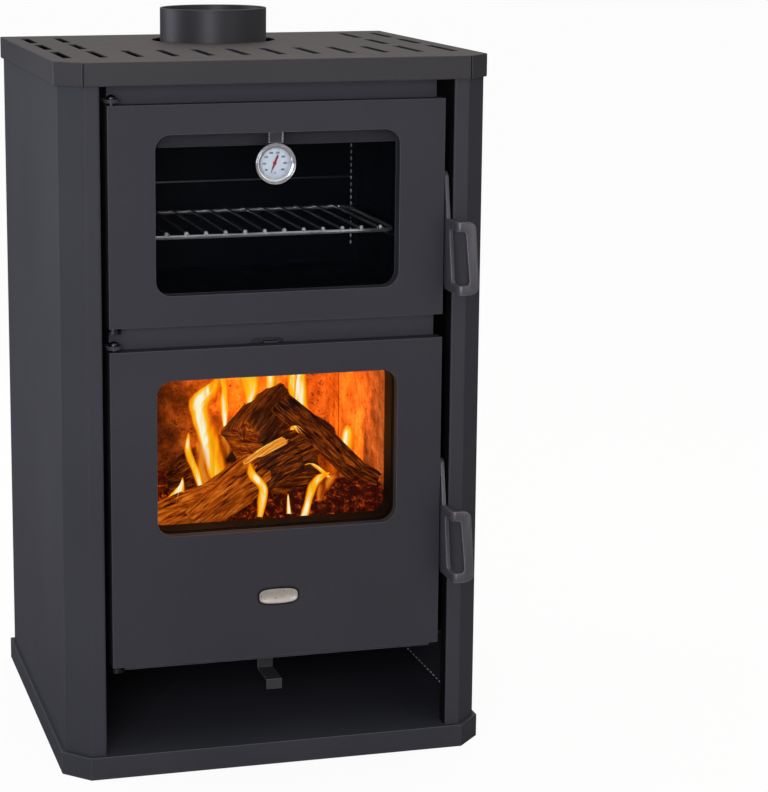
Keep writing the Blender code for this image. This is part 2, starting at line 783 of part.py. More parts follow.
def door_layers():
    """Distances behind the top plate's front edge of the door's glass, liner and gasket."""
    glass = DOOR_FRONT + WINDOW_LIP + GAP
    liner = glass + GLASS_THICK + GAP
    gasket = liner + LINER_SHEET + GAP
    return glass, liner, gasket


def seal_span(window_z, mouth_z):
    """Lowest and highest edge of what the gasket has to run around."""
    return min(window_z[0], mouth_z[0]) - GASKET_MARGIN, max(window_z[1], mouth_z[1]) + GASKET_MARGIN


def make_door(word, door_z, window_z, mouth_z):
    """Pressed pan with a turned-in window lip, glass, liner, rope gasket and two screws."""
    glass_at, liner_at, gasket_at = door_layers()
    front, rear = back(DOOR_FRONT), back(DOOR_FRONT + DOOR_DEPTH)
    skin = front + DOOR_SHEET
    pan = box(word + "_door_panel", (-DOOR_HALF, front, door_z[0]), (DOOR_HALF, rear, door_z[1]), PAINT)
    inner = DOOR_HALF - DOOR_SHEET
    hollow = box(
        word + "_door_hollow",
        (-inner, skin, door_z[0] + DOOR_SHEET),
        (inner, rear + PRESS_MARGIN, door_z[1] - DOOR_SHEET),
        helper=True,
    )
    lip = flat(
        word + "_window_lip",
        [window_outline(window_z, DOOR_SHEET, WINDOW_RADIUS + DOOR_SHEET)],
        "XZ",
        skin - DOOR_SHEET / 2,
        back(DOOR_FRONT + WINDOW_LIP),
        helper=True,
    )
    opening = flat(
        word + "_window_opening",
        [window_outline(window_z, 0, WINDOW_RADIUS)],
        "XZ",
        front - PRESS_MARGIN,
        rear + PRESS_MARGIN,
        helper=True,
    )
    cut(pan, hollow)
    join(pan, lip)
    middle = (door_z[0] + door_z[1]) / 2
    boss_places = [(-DOOR_HALF + BOSS_INSET, middle), (DOOR_HALF - BOSS_INSET, middle)]
    seat = back(liner_at) - GAP
    tip = seat - SCREW_HEAD_RADIUS * 2
    head = back(liner_at + LINER_SHEET) + GAP
    screws = []
    for (x, z), side in zip(boss_places, ("left", "right")):
        start, end = (x, skin - DOOR_SHEET / 2, z), (x, seat, z)
        join(pan, rod(f"{word}_boss_{side}", start, end, BOSS_RADIUS, helper=True))
        start, end = (x, tip - GAP, z), (x, seat + PRESS_MARGIN, z)
        cut(pan, rod(f"{word}_boss_hole_{side}", start, end, SCREW_RADIUS + GAP, helper=True))
        profile = [
            (0, SCREW_HEAD_HEIGHT),
            (SCREW_HEAD_RADIUS * 0.7, SCREW_HEAD_HEIGHT * 0.85),
            (SCREW_HEAD_RADIUS, SCREW_HEAD_HEIGHT * 0.3),
            (SCREW_HEAD_RADIUS, 0),
            (SCREW_RADIUS, 0),
            (SCREW_RADIUS, tip - head),
            (0, tip - head),
        ]
        screws.append(turned(f"{word}_liner_screw_{side}", profile, (x, head, z), ZINC, steps=12, axis="Y"))
    cut(pan, opening)
    glass = flat(
        word + "_glass",
        [window_outline(window_z, GLASS_OVERLAP, WINDOW_RADIUS)],
        "XZ",
        back(glass_at),
        back(glass_at + GLASS_THICK),
        GLASS,
    )
    liner_half = DOOR_HALF - LINER_INSET
    liner_edge = rounded_rectangle(
        (-liner_half, door_z[0] + LINER_INSET), (liner_half, door_z[1] - LINER_INSET), BOSS_RADIUS
    )
    screw_holes = [circle(place, SCREW_RADIUS + GAP, 12) for place in boss_places]
    liner = flat(
        word + "_door_liner",
        [liner_edge, window_outline(window_z, 0, WINDOW_RADIUS), *screw_holes],
        "XZ",
        back(liner_at),
        back(liner_at + LINER_SHEET),
        BODY_STEEL,
    )
    low, high = seal_span(window_z, mouth_z)
    half = OVEN_MOUTH_HALF + GASKET_MARGIN
    rope_inner = rounded_rectangle((-half, low), (half, high), WINDOW_RADIUS / 2)
    rope_outer = rounded_rectangle(
        (-half - GASKET_WIDTH, low - GASKET_WIDTH), (half + GASKET_WIDTH, high + GASKET_WIDTH), WINDOW_RADIUS
    )
    rope = [rope_outer, rope_inner]
    gasket = flat(word + "_door_gasket", rope, "XZ", back(gasket_at), back(BODY_FRONT) - GAP, ROPE)
    for end, z in (("low", door_z[0]), ("high", door_z[1])):
        hole = rod(
            f"{word}_hinge_hole_{end}",
            (HINGE_X, back(HINGE_BACK), z - PRESS_MARGIN),
            (HINGE_X, back(HINGE_BACK), z + PRESS_MARGIN),
            HINGE_PIN_RADIUS + GAP,
            helper=True,
        )
        cut(pan, hole)
    return pan, [glass, liner, gasket, *screws]


def make_hinge(word, door_z):
    """A top lug with a lift-out pin, and a bottom lug with the pintle that carries the door on its collar."""
    y = back(HINGE_BACK)
    rear = back(BODY_FRONT) - GAP
    outline = arc((HINGE_X, y), HINGE_LUG_RADIUS, 180, 360, 12)
    outline += [(HINGE_X + HINGE_LUG_RADIUS, rear), (HINGE_X - HINGE_LUG_RADIUS, rear)]
    hole = circle((HINGE_X, y), HINGE_PIN_RADIUS + GAP, 16)
    top_lug = door_z[1] + HINGE_LUG_GAP
    low_lug = door_z[0] - HINGE_LUG_GAP - HINGE_LUG_THICK
    flat(word + "_hinge_lug_top", [outline, hole], "XY", top_lug, top_lug + HINGE_LUG_THICK, PAINT)
    seat = top_lug + HINGE_LUG_THICK + GAP
    reach = door_z[1] - DOOR_SHEET - PRESS_MARGIN - seat
    quarter = arc((0, 0), 1.0, 90, 0, 5)
    dome = [(HINGE_HEAD_RADIUS * x, HINGE_HEAD_HEIGHT * (0.25 + 0.75 * z)) for x, z in quarter]
    profile = [
        (0, dome[0][1]),
        *dome[1:],
        (HINGE_HEAD_RADIUS, 0),
        (HINGE_PIN_RADIUS, 0),
        (HINGE_PIN_RADIUS, reach),
        (0, reach),
    ]
    turned(word + "_hinge_pin_top", profile, (HINGE_X, y, seat), PAINT, steps=16)
    lug = flat(word + "_hinge_pintle", [outline], "XY", low_lug, low_lug + HINGE_LUG_THICK, PAINT)
    collar_top = door_z[0] - GAP
    collar = rod(
        word + "_pintle_collar",
        (HINGE_X, y, low_lug + HINGE_LUG_THICK / 2),
        (HINGE_X, y, collar_top),
        HINGE_COLLAR_RADIUS,
        helper=True,
    )
    pin = rod(
        word + "_pintle_pin",
        (HINGE_X, y, low_lug + HINGE_LUG_THICK / 2),
        (HINGE_X, y, door_z[0] + DOOR_SHEET + PRESS_MARGIN),
        HINGE_PIN_RADIUS,
        helper=True,
    )
    join(lug, collar, pin)


def handle_outline(pivot_z):
    """Flat blank of the latch handle, as (distance behind the top plate's front edge, height).

    The part in front of the slanted fold line becomes the grip.
    The hook at the rear has a notch for the keeper.
    """
    top, bottom = pivot_z - GRIP_TOP_DROP, pivot_z - GRIP_BOTTOM_DROP
    keeper_z = pivot_z + KEEPER_RISE
    reach = KEEPER_RADIUS + GAP * 2
    notch = keeper_z - KEEPER_RADIUS - GAP
    nose_front, nose_back = KEEPER_BACK + reach, KEEPER_BACK + reach + HOOK_NOSE
    leg_back = LATCH_PIVOT_BACK - 0.006
    outline = [
        (KEEPER_BACK - reach, notch),
        (nose_front, notch),
        (nose_front, keeper_z + 0.001),
        (nose_front + 0.001, keeper_z + 0.002),
        (nose_back - 0.001, keeper_z + 0.002),
        (nose_back, keeper_z + 0.001),
        (nose_back, notch - 0.005),
        (nose_back - 0.002, notch - 0.007),
        (LATCH_PIVOT_BACK + 0.008, pivot_z - 0.013),
        (leg_back + 0.004, pivot_z - 0.030),
        (leg_back, bottom + GRIP_CORNER),
        (leg_back - 0.007, bottom),
    ]
    front_bottom = GRIP_FOLD_BOTTOM - GRIP_WIDTH
    front_top = GRIP_FOLD_TOP - GRIP_WIDTH
    outline += arc((front_bottom + GRIP_CORNER, bottom + GRIP_CORNER), GRIP_CORNER, 270, 180)
    outline += arc((front_top + GRIP_CORNER, top - GRIP_CORNER), GRIP_CORNER, 180, 90)
    outline += [(0.003, top), (0.013, pivot_z + 0.004)]
    outline += arc((LATCH_PIVOT_BACK, pivot_z), LATCH_EYE_RADIUS, 155, 40, 5)
    outline += [(KEEPER_BACK - reach - 0.004, pivot_z + 0.002), (KEEPER_BACK - reach, pivot_z + 0.001)]
    return outline


def finger_hole(pivot_z):
    top, bottom = pivot_z - GRIP_TOP_DROP - GRIP_ARM, pivot_z - GRIP_BOTTOM_DROP + GRIP_ARM
    bar_top = GRIP_FOLD_TOP - GRIP_WIDTH + GRIP_BAR
    bar_bottom = GRIP_FOLD_BOTTOM - GRIP_WIDTH + GRIP_BAR
    radius = 0.005
    return (
        arc((bar_bottom + radius, bottom + radius), radius, 180, 270, 3)
        + arc((GRIP_FOLD_BOTTOM + FINGER_HOLE_IN_LEG - radius, bottom + radius), radius, 270, 360, 3)
        + arc((GRIP_FOLD_TOP + FINGER_HOLE_IN_LEG - radius, top - radius), radius, 0, 90, 3)
        + arc((bar_top + radius, top - radius), radius, 90, 180, 3)
    )


def bend_handle(mesh, pivot_z):
    """Folds the blank: what lies in front of the slanted fold line turns towards +X about it."""
    span = GRIP_BOTTOM_DROP - GRIP_TOP_DROP
    slope = (GRIP_FOLD_BOTTOM - GRIP_FOLD_TOP) / span

    def fold_at(z):
        return GRIP_FOLD_TOP + slope * (pivot_z - GRIP_TOP_DROP - z)

    quarter = GRIP_FOLD_RADIUS * math.pi / 2
    bm = bmesh.new()
    bm.from_mesh(mesh)
    normal = Vector((0, 1, slope)).normalized()
    for i in range(5):
        y = back(fold_at(pivot_z)) + GRIP_FOLD_RADIUS - quarter * i / 4
        geometry = bm.verts[:] + bm.edges[:] + bm.faces[:]
        bmesh.ops.bisect_plane(bm, geom=geometry, plane_co=(0, y, pivot_z), plane_no=normal)
    for vert in bm.verts:
        start = back(fold_at(vert.co.z)) + GRIP_FOLD_RADIUS
        past = start - vert.co.y
        if past <= 0:
            continue
        turn = min(past, quarter) / GRIP_FOLD_RADIUS
        straight = max(past - quarter, 0)
        side, forward = vert.co.x - LATCH_X, 0.0
        radius = GRIP_FOLD_RADIUS - side
        vert.co.x = LATCH_X + GRIP_FOLD_RADIUS - radius * math.cos(turn) + straight
        vert.co.y = start - radius * math.sin(turn) - forward
    bm.to_mesh(mesh)
    bm.free()


def make_latch(word, pivot_z):
    y = back(LATCH_PIVOT_BACK)
    outline = [(back(a), z) for a, z in handle_outline(pivot_z)]
    hole = [(back(a), z) for a, z in finger_hole(pivot_z)]
    eye = circle((y, pivot_z), LATCH_PIVOT_RADIUS + GAP, 16)
    low = LATCH_X - LATCH_PLATE / 2
    handle = flat(word + "_latch_handle", [outline, hole, eye], "YZ", low, low + LATCH_PLATE, PAINT)
    bend_handle(handle.data, pivot_z)
    inner_end = DOOR_HALF - DOOR_SHEET - 0.003
    profile = [
        (0, LATCH_PLATE / 2 + GAP + 0.0018),
        (LATCH_PIVOT_RADIUS * 1.5, LATCH_PLATE / 2 + GAP + 0.0014),
        (LATCH_PIVOT_RADIUS * 1.7, LATCH_PLATE / 2 + GAP),
        (LATCH_PIVOT_RADIUS, LATCH_PLATE / 2 + GAP),
        (LATCH_PIVOT_RADIUS, inner_end - LATCH_X),
        (0, inner_end - LATCH_X),
    ]
    pivot = turned(word + "_latch_pivot", profile, (LATCH_X, y, pivot_z), ZINC, steps=16, axis="X")
    hole = rod(
        word + "_latch_hole",
        (DOOR_HALF - PRESS_MARGIN, y, pivot_z),
        (DOOR_HALF + PRESS_MARGIN, y, pivot_z),
        LATCH_PIVOT_RADIUS + GAP,
        helper=True,
    )
    keeper_z = pivot_z + KEEPER_RISE
    keeper = rod(
        word + "_latch_keeper",
        (BODY_HALF + GAP, back(KEEPER_BACK), keeper_z),
        (BODY_HALF + GAP + KEEPER_LENGTH, back(KEEPER_BACK), keeper_z),
        KEEPER_RADIUS,
        ZINC,
    )
    return handle, pivot, hole, keeper


def make_thermometer_case():
    outer = BEZEL_RADIUS
    inner = FACE_RADIUS + GAP
    back_wall = CASE_DEPTH - 0.001
    profile = [
        (0, -back_wall),
        (inner, -back_wall),
        (inner, -LENS_THICK - GAP * 2),
        (inner - BEZEL_LIP, -LENS_THICK - GAP * 2),
        (inner - BEZEL_LIP, -0.0004),
        (inner, 0),
        (outer - 0.0008, 0),
        (outer, -0.0010),
        (outer, -0.0032),
        (outer - 0.0018, -0.0042),
        (outer - 0.0018, -CASE_DEPTH + 0.0008),
        (outer - 0.0026, -CASE_DEPTH),
        (0, -CASE_DEPTH),
    ]
    return profile


def build_thermometer():
    place = (DIAL_X, back(DIAL_FRONT), DIAL_Z)
    inner = FACE_RADIUS + GAP
    case = turned("thermometer_case", make_thermometer_case(), place, CHROME, steps=36, axis="-Y")
    face_front = CASE_DEPTH - 0.001 - GAP - FACE_THICK
    face_y = back(DIAL_FRONT + face_front)
    face = flat(
        "thermometer_dial",
        [circle((DIAL_X, DIAL_Z), FACE_RADIUS, 36)],
        "XZ",
        face_y,
        face_y + FACE_THICK,
        DIAL_WHITE,
    )
    lens_y = back(DIAL_FRONT + LENS_THICK + GAP * 2) + GAP
    lens = flat(
        "thermometer_lens",
        [circle((DIAL_X, DIAL_Z), inner - GAP, 36)],
        "XZ",
        lens_y,
        lens_y + LENS_THICK,
        GLASS,
    )
    pointer = make_pointer(face_y)
    clip = make_thermometer_clip()
    return case, face, lens, pointer, clip


def make_pointer(face_y):
    """A tapered needle with a hub that turns on the dial's middle."""
    a = math.radians(90 - POINTER_ANGLE)
    along, across = Vector((math.cos(a), math.sin(a))), Vector((-math.sin(a), math.cos(a)))
    half = POINTER_WIDTH / 2
    shape = [
        (POINTER_REACH, half * 0.35),
        (0, half),
        (-POINTER_TAIL, half * 0.8),
        (-POINTER_TAIL, -half * 0.8),
        (0, -half),
        (POINTER_REACH, -half * 0.35),
    ]
    centre = Vector((DIAL_X, DIAL_Z))
    outline = [tuple(centre + along * s + across * t) for s, t in shape]
    rear = face_y - GAP
    low, high = rear - POINTER_THICK * 2, rear - POINTER_THICK
    pointer = flat("thermometer_pointer", [outline], "XZ", low, high, POINTER_RED)
    hub = rod(
        "pointer_hub",
        (DIAL_X, rear - POINTER_THICK * 2.5, DIAL_Z),
        (DIAL_X, rear, DIAL_Z),
        POINTER_WIDTH,
        helper=True,
    )
    join(pointer, hub)
    return pointer


def make_thermometer_clip():
    top = OVEN_WINDOW_Z[1] - GAP
    foot = DIAL_Z + BEZEL_RADIUS + GAP
    front = back(DOOR_FRONT + DOOR_SHEET)
    profile = [
        (DIAL_X - CLIP_HALF, front),
        (DIAL_X - CLIP_HALF, front + CLIP_FLANGE),
        (DIAL_X + CLIP_HALF, front + CLIP_FLANGE),
        (DIAL_X + CLIP_HALF, front),
    ]
    return folded_sheet("thermometer_clip", profile, "XY", foot, top, CLIP_SHEET, ZINC, -1.0)


def make_oven_door():
    hinge = joint_empty("oven_door_hinge", (HINGE_X, back(HINGE_BACK), OVEN_DOOR_Z[0]))
    pan, fittings = make_door("oven", OVEN_DOOR_Z, OVEN_WINDOW_Z, OVEN_MOUTH_Z)
    handle, pivot, hole, _ = make_latch("oven", OVEN_PIVOT_Z)
    cut(pan, hole)
    soften(pan, DOOR_EDGE)
    case, face, lens, pointer, clip = build_thermometer()
    carry(hinge, pan, *fittings, pivot, case, face, lens, clip)
    carry(joint_empty("oven_latch_axis", (LATCH_X, back(LATCH_PIVOT_BACK), OVEN_PIVOT_Z)), handle)
    carry(joint_empty("pointer_axis", (DIAL_X, back(DIAL_FRONT), DIAL_Z)), pointer)
    make_hinge("oven", OVEN_DOOR_Z)


def make_fire_door():
    hinge = joint_empty("fire_door_hinge", (HINGE_X, back(HINGE_BACK), FIRE_DOOR_Z[0]))
    mouths = (PAN_Z[0] - ASH_MOUTH_MARGIN, FIRE_WINDOW_Z[1] + MOUTH_TUNNEL_SHEET + GAP)
    pan, fittings = make_door("fire", FIRE_DOOR_Z, FIRE_WINDOW_Z, mouths)
    handle, pivot, hole, _ = make_latch("fire", FIRE_PIVOT_Z)
    cut(pan, hole)
    soften(pan, DOOR_EDGE)
    front = back(DOOR_FRONT) - GAP
    wide, tall = BADGE_HALF
    badge = flat(
        "badge_plate",
        [rounded_rectangle((-wide, BADGE_Z - tall), (wide, BADGE_Z + tall), 0.0095)],
        "XZ",
        front - BADGE_THICK,
        front,
        PLATE_METAL,
    )
    soften(badge, BADGE_THICK * 0.4, 2)
    carry(hinge, pan, *fittings, pivot, badge)
    carry(joint_empty("fire_latch_axis", (LATCH_X, back(LATCH_PIVOT_BACK), FIRE_PIVOT_Z)), handle)
    make_hinge("fire", FIRE_DOOR_Z)


def make_fire_chamber():
    front = back(BODY_FRONT + BODY_SHEET + GAP)
    wall = BODY_HALF - BODY_SHEET - GAP
    rear = back(BODY_BACK - BODY_SHEET) - GAP
    outer = window_outline(FIRE_WINDOW_Z, MOUTH_TUNNEL_SHEET, WINDOW_RADIUS)
    opening = window_outline(FIRE_WINDOW_Z, 0, WINDOW_RADIUS)
    flat("fire_mouth_tunnel", [outer, opening], "XZ", back(BODY_FRONT), back(MOUTH_TUNNEL_BACK), BODY_STEEL)
    grate_low = (-GRATE_HALF[0], back(GRATE_BACK) - GRATE_HALF[1])
    grate_high = (GRATE_HALF[0], back(GRATE_BACK) + GRATE_HALF[1])
    hole = rectangle(
        (grate_low[0] + GRATE_BORDER, grate_low[1] + GRATE_BORDER),
        (grate_high[0] - GRATE_BORDER, grate_high[1] - GRATE_BORDER),
    )
    plan = rectangle((-wall, front), (wall, rear))
    flat("hearth_plate", [plan, hole], "XY", HEARTH_Z - HEARTH_SHEET, HEARTH_Z, CAST_IRON)
    slots = []
    pitch = (grate_high[0] - grate_low[0] - 2 * GRATE_BORDER) / GRATE_BARS
    for i in range(GRATE_BARS):
        x = grate_low[0] + GRATE_BORDER + pitch * (i + 0.5)
        slots.append(
            rounded_rectangle(
                (x - GRATE_SLOT / 2, grate_low[1] + GRATE_BORDER + BAFFLE_THICK / 4),
                (x + GRATE_SLOT / 2, grate_high[1] - GRATE_BORDER - BAFFLE_THICK / 4),
                GRATE_SLOT * 0.45,
            )
        )
    grate_z = HEARTH_Z + GAP
    flat("grate", [rectangle(grate_low, grate_high), *slots], "XY", grate_z, grate_z + GRATE_THICK, CAST_IRON)
    brick_front, foot = back(BRICK_FRONT), HEARTH_Z + GAP
    inside = wall - BRICK_THICK
    for side, word in ((-1, "left"), (1, "right")):
        x0, x1 = sorted((side * wall, side * inside))
        box("brick_" + word, (x0, brick_front, foot), (x1, rear, BRICK_TOP), FIREBRICK)
    edge = inside - GAP
    box("brick_back", (-edge, rear - BRICK_THICK, foot), (edge, rear, BRICK_TOP), FIREBRICK)
    seat = BRICK_TOP + GAP
    box("baffle_slab", (-wall, back(BAFFLE_FRONT), seat), (wall, rear, seat + BAFFLE_THICK), FIREBRICK)



def mound(name, low, high, batter, finish=None, helper=False):
    """A box whose sides lean in towards its top."""
    (x0, y0, z0), (x1, y1, z1) = low, high
    foot = [(x0, y0, z0), (x1, y0, z0), (x1, y1, z0), (x0, y1, z0)]
    crown = [
        (x0 + batter, y0 + batter, z1),
        (x1 - batter, y0 + batter, z1),
        (x1 - batter, y1 - batter, z1),
        (x0 + batter, y1 - batter, z1),
    ]
    faces = [(3, 2, 1, 0), (4, 5, 6, 7), (0, 1, 5, 4), (1, 2, 6, 5), (2, 3, 7, 6), (3, 0, 4, 7)]
    mesh = bpy.data.meshes.new(name)
    mesh.from_pydata(foot + crown, [], faces)
    return add_object(name, mesh, finish, helper)


def make_fuel():
    """Split logs leant together on a bed of embers, which lies on the grate and the hearth round it."""
    half = BODY_HALF - BODY_SHEET - GAP - BRICK_THICK
    front, rear = back(BRICK_FRONT), back(BODY_BACK - BODY_SHEET) - GAP - BRICK_THICK
    foot, grate_top = HEARTH_Z + GAP, HEARTH_Z + GAP + GRATE_THICK
    margin = EMBER_MARGIN
    low = (margin - half, front + margin, foot)
    high = (half - margin, rear - margin, grate_top + EMBER_HEIGHT)
    fuel = mound("fuel_load", low, high, EMBER_BATTER, CHARRED_WOOD)
    seat_low = (-GRATE_HALF[0] - GAP, back(GRATE_BACK) - GRATE_HALF[1] - GAP, foot - PRESS_MARGIN)
    seat_high = (GRATE_HALF[0] + GAP, back(GRATE_BACK) + GRATE_HALF[1] + GAP, grate_top + GAP)
    cut(fuel, box("grate_seat", seat_low, seat_high, helper=True))

    def place(across, deep, up):
        return (half * across, front + (rear - front) * deep, grate_top + (BRICK_TOP - grate_top) * up)

    # Each log's two ends, as shares of the firebox:
    # across from its middle, back from its front, up from the grate
    logs = {
        "log_block": ((-0.052, 0.216, 0.507), (0.318, 0.446, 0.613), BLOCK_RADIUS),
        "log_leaning": ((0.192, 0.270, 0.676), (0.770, 0.149, 0.326), LOG_RADIUS),
        "log_front": ((-0.543, 0.080, 0.165), (0.239, 0.195, 0.460), LOG_RADIUS * 1.2),
        "log_low_left": ((-0.800, 0.087, 0.198), (-0.302, 0.130, 0.280), LOG_RADIUS),
        "log_low_right": ((0.188, 0.149, 0.154), (0.889, 0.230, 0.201), LOG_RADIUS * 1.1),
        "log_behind": ((-0.700, 0.555, 0.190), (0.646, 0.487, 0.226), BLOCK_RADIUS),
        "log_prop": ((-0.404, 0.487, 0.262), (0.081, 0.311, 0.478), LOG_RADIUS * 1.1),
    }
    for name, (start, end, radius) in logs.items():
        join(fuel, rod(name, place(*start), place(*end), radius, helper=True, sides=7))


def make_ash_pan():
    front, rear = back(PAN_FRONT), back(PAN_FRONT + PAN_DEPTH)
    pan = box("ash_pan", (-PAN_HALF, front, PAN_Z[0]), (PAN_HALF, rear, PAN_Z[1]), BODY_STEEL)
    inner = PAN_HALF - PAN_SHEET
    inside = box(
        "ash_pan_inside",
        (-inner, front + PAN_SHEET, PAN_Z[0] + PAN_SHEET),
        (inner, rear - PAN_SHEET, PAN_Z[1] + PRESS_MARGIN),
        helper=True,
    )
    cut(pan, inside)
    middle = (PAN_Z[0] + PAN_Z[1]) / 2
    thick = 2 * PAN_HANDLE_RADIUS
    bow = [
        (-PAN_HANDLE_HALF, front + PAN_SHEET / 2),
        (-PAN_HANDLE_HALF, front - PAN_HANDLE_REACH),
        (PAN_HANDLE_HALF, front - PAN_HANDLE_REACH),
        (PAN_HANDLE_HALF, front + PAN_SHEET / 2),
    ]
    low, high = middle - PAN_HANDLE_RADIUS, middle + PAN_HANDLE_RADIUS
    join(pan, folded_sheet("ash_pan_bow", bow, "XY", low, high, thick, None, 1.0, helper=True))
    carry(joint_empty("ash_pan_slide", (0, front, PAN_Z[0])), pan)
    floor_top = BODY_BOTTOM + BODY_SHEET + GAP
    for side, word in ((-1, "left"), (1, "right")):
        x0, x1 = sorted((side * (PAN_HALF - RAIL_UPSTAND), side * (PAN_HALF + RAIL_UPSTAND / 4)))
        low = (x0, front, floor_top)
        high = (x1, rear, PAN_Z[0] - GAP)
        box("ash_pan_runner_" + word, low, high, BODY_STEEL)


def make_air_slide():
    """Plate under the body floor with a cranked pull that shows below the fire door."""
    top = BODY_BOTTOM - GAP
    half = AIR_PULL_WIDTH / 2
    profile = [
        (back(AIR_PULL_BACK) + PRESS_MARGIN, top - AIR_STRIP / 2),
        (back(AIR_PULL_BACK), top - AIR_STRIP / 2),
        (back(AIR_PULL_BACK), AIR_PULL_Z),
        (back(AIR_PULL_FRONT), AIR_PULL_Z),
        (back(AIR_PULL_FRONT), AIR_PULL_Z - AIR_PULL_DROP),
    ]
    pull = folded_sheet("air_slide", profile, "YZ", -half, half, AIR_STRIP, PAINT, 0.0)
    plate_front = back(AIR_PULL_BACK) + AIR_STRIP
    plan = rectangle((-AIR_PLATE_HALF, plate_front), (AIR_PLATE_HALF, back(AIR_PLATE_BACK)))
    plate = flat("air_slide_plate", [plan], "XY", top - AIR_STRIP * 0.99, top - AIR_STRIP * 0.01, helper=True)
    join(pull, plate)
    carry(joint_empty("air_slide_axis", (0, back(AIR_PULL_FRONT), AIR_PULL_Z)), pull)
    for side, word in ((-1, "left"), (1, "right")):
        outer = AIR_PLATE_HALF + GAP
        profile = [
            (side * (outer + AIR_GUIDE_LIP), top),
            (side * outer, top),
            (side * outer, top - AIR_STRIP - GAP),
            (side * (outer - AIR_GUIDE_LIP), top - AIR_STRIP - GAP),
        ]
        folded_sheet(
            "air_slide_guide_" + word,
            profile,
            "XZ",
            back(AIR_GUIDE[0]),
            back(AIR_GUIDE[1]),
            AIR_STRIP * 0.6,
            BODY_STEEL,
            side,
        )


def make_wash_slide():
    """Plate behind the front plate that meters the air to the window, with a finger tab through the hole."""
    face = back(BODY_FRONT + BODY_SHEET) + GAP
    rear = face + WASH_PLATE_SHEET
    low = (WASH_TAB_X - WASH_PLATE_HALF, face, WASH_PLATE_Z[0])
    high = (WASH_TAB_X + WASH_PLATE_HALF, rear, WASH_PLATE_Z[1])
    plate = box("wash_air_slide", low, high, PAINT)
    tab = box(
        "wash_air_tab",
        (WASH_TAB_X - WASH_TAB_HALF, back(BODY_FRONT) - WASH_TAB_REACH, WASH_TAB_Z - WASH_PLATE_SHEET / 2),
        (WASH_TAB_X + WASH_TAB_HALF, face + WASH_PLATE_SHEET / 2, WASH_TAB_Z + WASH_PLATE_SHEET / 2),
        helper=True,
    )
    join(plate, tab)
    port_low = (WASH_TAB_X - WASH_PORT_HALF, face - PRESS_MARGIN, WASH_PORT_Z[0])
    port_high = (WASH_TAB_X + WASH_PORT_HALF, rear + PRESS_MARGIN, WASH_PORT_Z[1])
    cut(plate, box("wash_air_port", port_low, port_high, helper=True))
    carry(joint_empty("wash_air_axis", (WASH_TAB_X, face, WASH_TAB_Z)), plate)
    reach = WASH_PLATE_HALF + WASH_GUIDE_MORE
    low, high = WASH_PLATE_Z[0] - GAP, WASH_PLATE_Z[1] + GAP
    sheet = WASH_PLATE_SHEET
    profile = [
        (face, low - WASH_GUIDE_LIP),
        (face, low),
        (rear + GAP, low),
        (rear + GAP, high),
        (face, high),
        (face, high + WASH_GUIDE_LIP),
    ]
    guide = folded_sheet(
        "wash_air_guide", profile, "YZ", WASH_TAB_X - reach, WASH_TAB_X + reach, sheet / 2, BODY_STEEL, -1.0
    )
    port_low = (WASH_TAB_X - WASH_PORT_HALF - WASH_PORT_STEP, face - PRESS_MARGIN, WASH_PORT_Z[0])
    port_high = (WASH_TAB_X + WASH_PORT_HALF - WASH_PORT_STEP, rear + PRESS_MARGIN, WASH_PORT_Z[1])
    cut(guide, box("wash_guide_port", port_low, port_high, helper=True))


clear_scene()
make_plinth()
make_side_panel(-1, "side_panel_left")
make_side_panel(1, "side_panel_right")
make_top_plate()
make_rear_panel()
make_supports()
make_front_plate()
make_body()
make_flue_collar()
make_oven()
make_rack()
make_oven_door()
make_fire_door()
make_fire_chamber()
make_fuel()
make_ash_pan()
make_air_slide()
make_wash_slide()
bpy.context.view_layer.update()
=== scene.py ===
# Heating stove with a baking oven above the fire: finishes, fire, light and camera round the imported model
import math
import random

import bpy
from mathutils import Matrix, Vector, noise


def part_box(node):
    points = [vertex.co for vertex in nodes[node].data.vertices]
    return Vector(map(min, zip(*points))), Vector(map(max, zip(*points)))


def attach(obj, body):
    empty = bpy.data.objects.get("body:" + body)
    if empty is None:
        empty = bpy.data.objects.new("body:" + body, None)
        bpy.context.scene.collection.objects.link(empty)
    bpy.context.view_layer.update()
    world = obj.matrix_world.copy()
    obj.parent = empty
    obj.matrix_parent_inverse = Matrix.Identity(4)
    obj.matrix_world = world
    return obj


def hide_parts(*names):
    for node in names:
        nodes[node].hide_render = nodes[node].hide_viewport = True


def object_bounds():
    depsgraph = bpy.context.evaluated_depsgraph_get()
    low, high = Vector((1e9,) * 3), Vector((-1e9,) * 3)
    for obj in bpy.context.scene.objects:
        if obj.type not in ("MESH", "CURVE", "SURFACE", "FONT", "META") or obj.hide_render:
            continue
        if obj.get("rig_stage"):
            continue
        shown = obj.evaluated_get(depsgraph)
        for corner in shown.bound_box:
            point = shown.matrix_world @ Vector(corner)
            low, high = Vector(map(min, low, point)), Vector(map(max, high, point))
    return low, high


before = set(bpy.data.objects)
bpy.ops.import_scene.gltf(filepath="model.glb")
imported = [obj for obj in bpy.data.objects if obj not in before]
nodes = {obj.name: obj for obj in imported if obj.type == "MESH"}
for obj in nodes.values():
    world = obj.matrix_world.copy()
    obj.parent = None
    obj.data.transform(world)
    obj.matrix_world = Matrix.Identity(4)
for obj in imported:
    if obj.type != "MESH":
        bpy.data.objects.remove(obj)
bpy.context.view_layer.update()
print("frame loaded:", len(nodes), "nodes")

